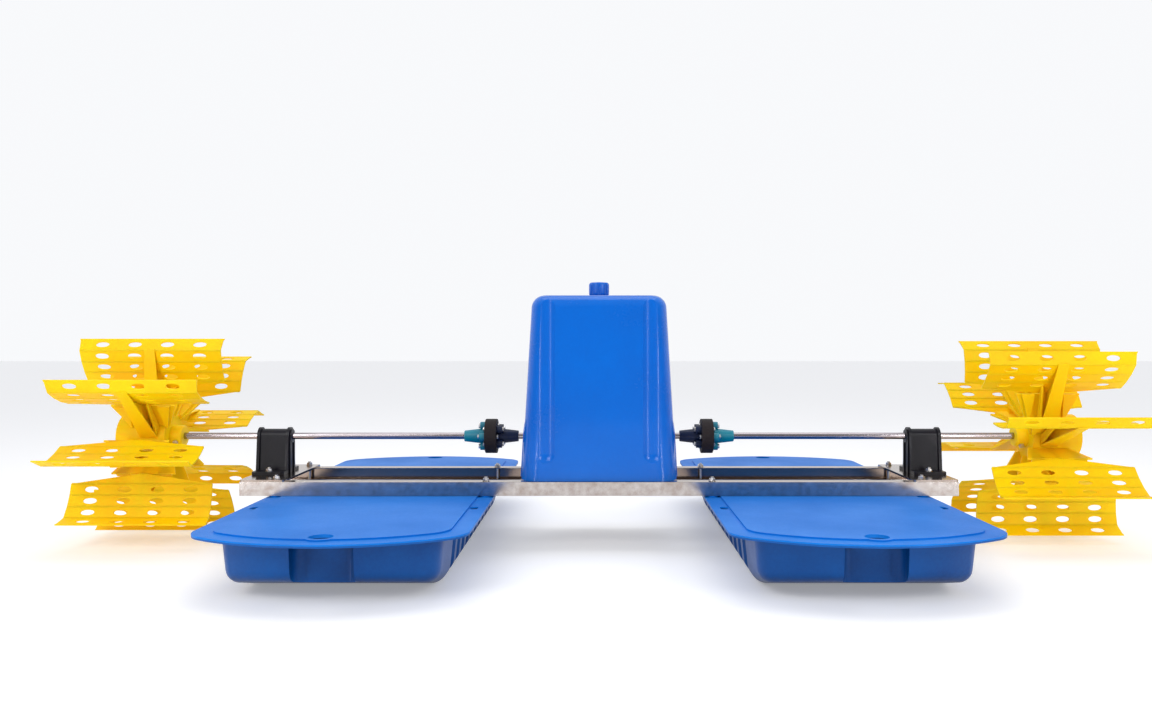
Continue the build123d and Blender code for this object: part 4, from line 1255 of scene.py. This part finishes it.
    def arm(self) -> bpy.types.Mesh:
        """Builds one blade's arm: web, cap, neck and gussets.

        Returns:
            The mesh.
        """
        sizes, shell = self.sizes, Shell()
        crease, second, third, corner, tip = self.profile.corners[1:]
        head = (crease[0] + sizes.sheet, crease[1] + sizes.sheet / 4)
        foot = (sizes.drum_radius * 0.82, sizes.drum_radius * 0.54)
        outline = [head, foot, (sizes.drum_radius - 8, 0.0), tip, corner, third, second, crease]
        rings = [[(x, -n, r) for r, n in outline] for x in (-4.0, 4.0)]
        shell.loft(rings)
        self._bar(shell, head, foot, (30.0, 50.0), (4.0, 5.0))
        self._bar(shell, tip, (sizes.drum_radius - 6, 0.0), (190.0, 116.0), (6.0, 6.0))
        for side in (-1, 1):
            self._bar(
                shell,
                tip,
                (sizes.drum_radius - 3, 0.0),
                (38.0, 5.0),
                (14.0, 14.0),
                (side * 62.0, side * 52.0),
            )
            self._bar(
                shell,
                (corner[0] + 6, corner[1]),
                (sizes.drum_radius - 3, 8.0),
                (6.0, 6.0),
                (10.0, 26.0),
                (side * 30.0, side * 24.0),
            )
        for index, fold in enumerate((crease, second, third, corner)):
            half = self._edge(self.profile.runs[index + 1]) - 2.0
            ring = [(2.9 * math.cos(k * math.tau / 8), 2.9 * math.sin(k * math.tau / 8)) for k in range(8)]
            shell.loft([[(x, b - fold[1], a + fold[0]) for a, b in ring] for x in (-half, half)])
        return shell.mesh("blade_arm", 1.0, 0.01)

    def drum(self) -> bpy.types.Mesh:
        """Builds the drum with its spoke pockets and the sleeve round the shaft.

        Returns:
            The mesh.
        """
        sizes, shell = self.sizes, Shell()
        low, high = sizes.drum_span
        inner = sizes.drum_radius - sizes.drum_wall
        shell.lathe(
            [
                (low, sizes.sleeve_radius),
                (low, sizes.drum_radius),
                (high, sizes.drum_radius),
                (high, inner),
                (low + sizes.drum_wall, inner),
                (low + sizes.drum_wall, sizes.sleeve_radius),
            ],
            steps=64,
            closed=False,
        )
        near, far = sizes.sleeve_span
        shell.lathe(
            [
                (near, sizes.bore),
                (near, sizes.sleeve_radius - 3),
                (near + 3, sizes.sleeve_radius),
                (far - 3, sizes.sleeve_radius),
                (far, sizes.sleeve_radius - 3),
                (far, sizes.bore),
                (near, sizes.bore),
            ],
            closed=False,
        )
        for spoke in range(sizes.blades):
            angle = 2 * math.pi * spoke / sizes.blades
            turn = Matrix.Rotation(angle, 3, "X")
            ring = []
            for across in (-3.0, 3.0):
                for along, radius in (
                    (low + 2, sizes.sleeve_radius - 2),
                    (low + 2, inner + 2),
                    (high - 4, inner + 2),
                    (high - 4, sizes.sleeve_radius - 2),
                ):
                    ring.append(tuple(turn @ Vector((along, across, radius))))
            shell.loft([ring[:4], ring[4:]])
        return shell.mesh("wheel_drum", 1.0, 0.01)

    def build(self, side: int, turn: float, node: str) -> None:
        """Builds a wheel and lets it stand for its solid.

        Args:
            side: 1 for the right wheel, -1 for the left.
            turn: Its angle at rest, in degrees.
            node: Name of the solid.
        """
        workshop, sizes = self.workshop, self.sizes
        yellow = workshop.materials.by_slot["wheel_plastic"]
        sheet = workshop.link("sheet", self.sheet())
        solid = sheet.modifiers.new("Solid", "SOLIDIFY")
        solid.thickness = sizes.sheet
        solid.offset = 0.0
        workshop.soften(sheet, 0.8, segments=2, angle=50.0)
        workshop.bake(sheet)
        arm = workshop.link("arm", self.arm())
        workshop.soften(arm, 1.6, segments=2)
        workshop.bake(arm)
        for part in (sheet, arm):
            self.repeater.apply(part, self.repeater.radial, Count=sizes.blades, Material=yellow)
        drum = workshop.link("drum", self.drum())
        workshop.soften(drum, 1.2, segments=2)
        workshop.bake(drum)
        edit = bmesh.new()
        for part in (sheet, arm, drum):
            edit.from_mesh(part.data)
        place = Matrix.Translation(
            (side * sizes.centre * MM, 0.0, sizes.shaft_height * MM)
        ) @ Matrix.Rotation(math.radians(turn), 4, "X")
        flip = Matrix.Diagonal((side * MM, MM, MM, 1.0))
        bmesh.ops.transform(edit, matrix=place @ flip, verts=edit.verts)
        if side < 0:
            bmesh.ops.reverse_faces(edit, faces=edit.faces)
        mesh = bpy.data.meshes.new(node + "_look")
        edit.to_mesh(mesh)
        edit.free()
        for part in (sheet, arm, drum):
            bpy.data.objects.remove(part)
        for polygon in mesh.polygons:
            polygon.use_smooth = True
        mesh.set_sharp_from_angle(angle=math.radians(38.0))
        piece = workshop.link(node + "_look", mesh)
        even = piece.modifiers.new("Normals", "WEIGHTED_NORMAL")
        even.keep_sharp = True
        workshop.finish(piece, "wheel_plastic", Body.DRIVE, (node,))


class Fasteners:
    """Builds the bolts that stand on the beams and the bearing blocks."""

    def __init__(self, workshop: Workshop, repeater: Repeater) -> None:
        """Keeps the tools.

        Args:
            workshop: Finishing tools.
            repeater: Geometry Nodes groups.
        """
        self.workshop = workshop
        self.repeater = repeater

    @staticmethod
    def bolt(shank: float) -> bpy.types.Mesh:
        """Builds a bolt with a washer, a hexagon nut and a threaded end.

        Args:
            shank: Length under the washer, in millimetres.

        Returns:
            The mesh, in metres, its washer's underside at the origin.
        """
        shell = Shell()
        shell.lathe([(0.0, 5.2), (0.0, 10.5), (1.6, 10.5), (1.6, 5.2)], axis="Z", steps=32)
        nut, corners = [], 6
        for level, radius in ((1.6, 8.6), (2.3, 9.2), (7.6, 9.2), (8.3, 8.4)):
            nut.append(
                [
                    (
                        radius * math.cos(math.tau * step / corners),
                        radius * math.sin(math.tau * step / corners),
                        level,
                    )
                    for step in range(corners)
                ]
            )
        shell.loft(nut)
        thread: list[Pair] = [(-shank, 4.6)]
        for ridge in range(4):
            level = 8.0 + 1.1 * ridge
            thread.extend(((level, 4.5), (level + 0.55, 5.0)))
        thread.append((12.2, 4.0))
        shell.lathe(thread, axis="Z", steps=20)
        return shell.mesh("bolt")

    def build(
        self, name: str, node: str, places: Sequence[Point], shank: float, seed: int
    ) -> None:
        """Puts bolts at their places.

        Args:
            name: The piece's name.
            node: The solid that it stands for.
            places: Seats of the bolts, in metres.
            shank: Length under the seat, in millimetres.
            seed: Seed of their turns.
        """
        steel = self.workshop.materials.by_slot["fastener_steel"]
        part = self.workshop.link("bolt_part", self.bolt(shank))
        self.workshop.soften(part, 0.0003, segments=1)
        self.workshop.bake(part)
        seats = bpy.data.meshes.new(name)
        seats.from_pydata(list(places), [], [])
        piece = self.workshop.link(name, seats)
        self.repeater.apply(piece, self.repeater.scatter, Part=part, Seed=seed, Material=steel)
        bpy.data.objects.remove(part)
        self.workshop.finish(piece, "fastener_steel", Body.FRAME, (node,))


class Knob:
    """Builds the fluted knob on the cover."""

    def __init__(self, workshop: Workshop) -> None:
        """Keeps the tools.

        Args:
            workshop: Finishing tools.
        """
        self.workshop = workshop

    def build(self) -> None:
        """Builds the knob at its solid's place."""
        low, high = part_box("cover_knob")
        middle = (low + high) / 2
        radius = (high.x - low.x) / 2
        height = high.z - low.z
        shell = Shell()
        rings = []
        levels = (
            (0.0, 0.80, 0.0),
            (0.12, 0.80, 0.0),
            (0.20, 0.97, 0.10),
            (0.30, 1.0, 0.16),
            (0.82, 1.0, 0.16),
            (0.92, 0.96, 0.14),
            (0.985, 0.84, 0.08),
            (1.0, 0.62, 0.0),
            (0.975, 0.50, 0.0),
            (0.95, 0.10, 0.0),
        )
        steps, flutes = 96, 8
        for share, size, depth in levels:
            ring = []
            for step in range(steps):
                angle = math.tau * step / steps
                dip = depth * max(0.0, math.cos(flutes * angle)) ** 1.5
                reach = radius * size * (1 - dip)
                ring.append(
                    (
                        middle.x + reach * math.cos(angle),
                        middle.y + reach * math.sin(angle),
                        low.z + share * height,
                    )
                )
            rings.append(ring)
        shell.loft(rings)
        piece = self.workshop.link("cover_knob_look", shell.mesh("cover_knob_look", 1.0))
        for polygon in piece.data.polygons:
            polygon.use_smooth = True
        piece.data.set_sharp_from_angle(angle=math.radians(45.0))
        self.workshop.finish(piece, "cover_plastic", Body.FRAME, ("cover_knob",))


class Studio:
    """The floor, the soft lights and the camera at the photograph's view."""

    @staticmethod
    def light(name: str, place: Point, aim: Point, size: Pair, power: float) -> None:
        """Adds a soft rectangular light.

        Args:
            name: Its name.
            place: Where it stands.
            aim: Where it points.
            size: Width and height, in metres.
            power: Power in watts.
        """
        data = bpy.data.lights.new(name, "AREA")
        data.shape = "RECTANGLE"
        data.size, data.size_y = size
        data.energy = power
        lamp = bpy.data.objects.new(name, data)
        lamp.location = place
        lamp.rotation_euler = (Vector(aim) - Vector(place)).to_track_quat("-Z", "Y").to_euler()
        bpy.context.scene.collection.objects.link(lamp)

    def build(self) -> None:
        """Builds the studio."""
        scene = bpy.context.scene
        scene.view_settings.view_transform = "Standard"
        world = bpy.data.worlds.new("Studio")
        world.use_nodes = True
        tree = Tree(world.node_tree)
        backdrop = world.node_tree.nodes["Background"]
        place = tree.add("ShaderNodeTexCoord")
        split = tree.add("ShaderNodeSeparateXYZ")
        tree.put(split.inputs[0], place.outputs["Generated"])
        rear = tree.ramp(
            tree.math("MULTIPLY_ADD", split.outputs[1], 0.5, 0.5),
            ((0.40, 0.0), (0.62, 1.0)),
        )
        above = tree.ramp(split.outputs[2], ((0.10, 0.0), (0.75, 1.0)))
        front = tree.mix(above, (0.16, 0.12, 0.10, 1.0), (0.50, 0.52, 0.55, 1.0))
        tree.put(backdrop.inputs[0], tree.mix(rear, front, (0.97, 0.98, 1.0, 1.0)))
        backdrop.inputs[1].default_value = 0.97
        scene.world = world
        self.light("Key", (-2.2, -3.4, 3.0), (0.0, 0.0, 0.25), (2.0, 2.0), 48.0)
        self.light("Fill", (2.8, -3.2, 2.2), (0.2, 0.0, 0.25), (1.6, 1.6), 26.0)
        self.light("Top", (0.0, 0.2, 4.0), (0.0, 0.0, 0.0), (4.0, 2.0), 42.0)
        for side in (-1, 1):
            place = (side * 1.9, -2.3, 1.0)
            self.light(f"Strip{side:+d}", place, (0.0, 0.0, 0.45), (0.14, 2.2), 13.0)
        floor = Workshop.link("floor", bpy.data.meshes.new("floor"))
        floor.data.from_pydata(
            [(-30, -30, -0.002), (30, -30, -0.002), (30, 30, -0.002), (-30, 30, -0.002)],
            [],
            [(0, 1, 2, 3)],
        )
        pale = bpy.data.materials.new("Floor")
        pale.use_nodes = True
        shader = pale.node_tree.nodes["Principled BSDF"]
        shader.inputs["Base Color"].default_value = (0.82, 0.82, 0.83, 1.0)
        shader.inputs["Roughness"].default_value = 0.9
        shader.inputs["Emission Color"].default_value = (0.97, 0.98, 1.0, 1.0)
        shader.inputs["Emission Strength"].default_value = 0.28
        floor.data.materials.append(pale)
        data = bpy.data.cameras.new("Camera")
        data.sensor_width = 36.0
        data.lens = 29.84
        data.shift_x = -0.0200
        data.shift_y = -0.0139
        camera = bpy.data.objects.new("Camera", data)
        camera.location = (0.0, -2.910, 0.592)
        camera.rotation_euler = (math.radians(90.0), 0.0, 0.0)
        scene.collection.objects.link(camera)
        scene.camera = camera


class Aerator:
    """Dresses the whole machine."""

    SOFTENED: dict[str, tuple[float, int]] = {
        "float_deck": (3.4, 4),
        "float_hull": (4.0, 3),
        "motor_cover": (1.0, 2),
        "front_beam": (0.7, 2),
        "rear_beam": (0.7, 2),
        "end_plate": (0.8, 2),
        "bearing_block": (1.6, 3),
        "outer_hub": (1.2, 2),
        "inner_hub": (1.2, 2),
        "rubber_disc": (2.0, 3),
        "coupling_bolts": (0.5, 1),
        "wheel_bolt": (0.5, 1),
        "side_shaft": (0.6, 2),
        "motor_base_plate": (0.8, 2),
        "gearbox_housing": (2.0, 2),
        "side_cap": (1.2, 2),
        "terminal_box": (1.5, 2),
        "fan_cowl": (1.5, 2),
        "motor_shell": (0.6, 1),
    }

    def __init__(self) -> None:
        """Makes the shared tools."""
        self.materials = Materials()
        self.workshop = Workshop(self.materials)
        self.repeater = Repeater()
        self.sizes = WheelSizes()

    def dress_nodes(self) -> None:
        """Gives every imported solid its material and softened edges."""
        slots = {row["node"]: row["material_slot"] for row in frame["record"]["subparts"]}
        for name, node in frame["nodes"].items():
            material = self.materials.by_slot[slots[name]]
            if not node.material_slots:
                node.data.materials.append(material)
            for holder in node.material_slots:
                holder.material = material
            base = name.removesuffix("_left").removesuffix("_right")
            custom = node.data.attributes.get("custom_normal")
            if custom is not None:
                node.data.attributes.remove(custom)
            width, segments = self.SOFTENED.get(base, (0.4, 1))
            self.workshop.soften(node, width * MM, segments, weld=True)

    def bolt_places(self) -> None:
        """Builds the bolts on the beams and the bearing blocks."""
        maker = Fasteners(self.workshop, self.repeater)
        beam, plate, block = 0.197, 0.203, 0.212
        reach = [(326.0, beam), (930.0, plate)]
        seats = [
            (way * x * MM, side * 158.0 * MM, z)
            for x, z in reach
            for way in (-1, 1)
            for side in (-1, 1)
        ]
        maker.build("float_bolts_look", "float_bolts", seats, 66.0, 5)
        feet = [
            (way * 985.0 * MM, side * 59.0 * MM, block) for way in (-1, 1) for side in (-1, 1)
        ]
        maker.build("block_bolts_look", "block_bolts", feet, 25.0, 9)

    def build(self) -> None:
        """Builds everything that the scene shows."""
        Studio().build()
        self.dress_nodes()
        wheel = PaddleWheel(self.workshop, self.repeater, self.sizes)
        wheel.build(1, 30.0, "wheel_right")
        wheel.build(-1, 8.0, "wheel_left")
        self.bolt_places()
        Knob(self.workshop).build()


def main() -> None:
    """Builds the scene."""
    logging.basicConfig(level=logging.INFO)
    Aerator().build()


if __name__ == "__main__":
    main()
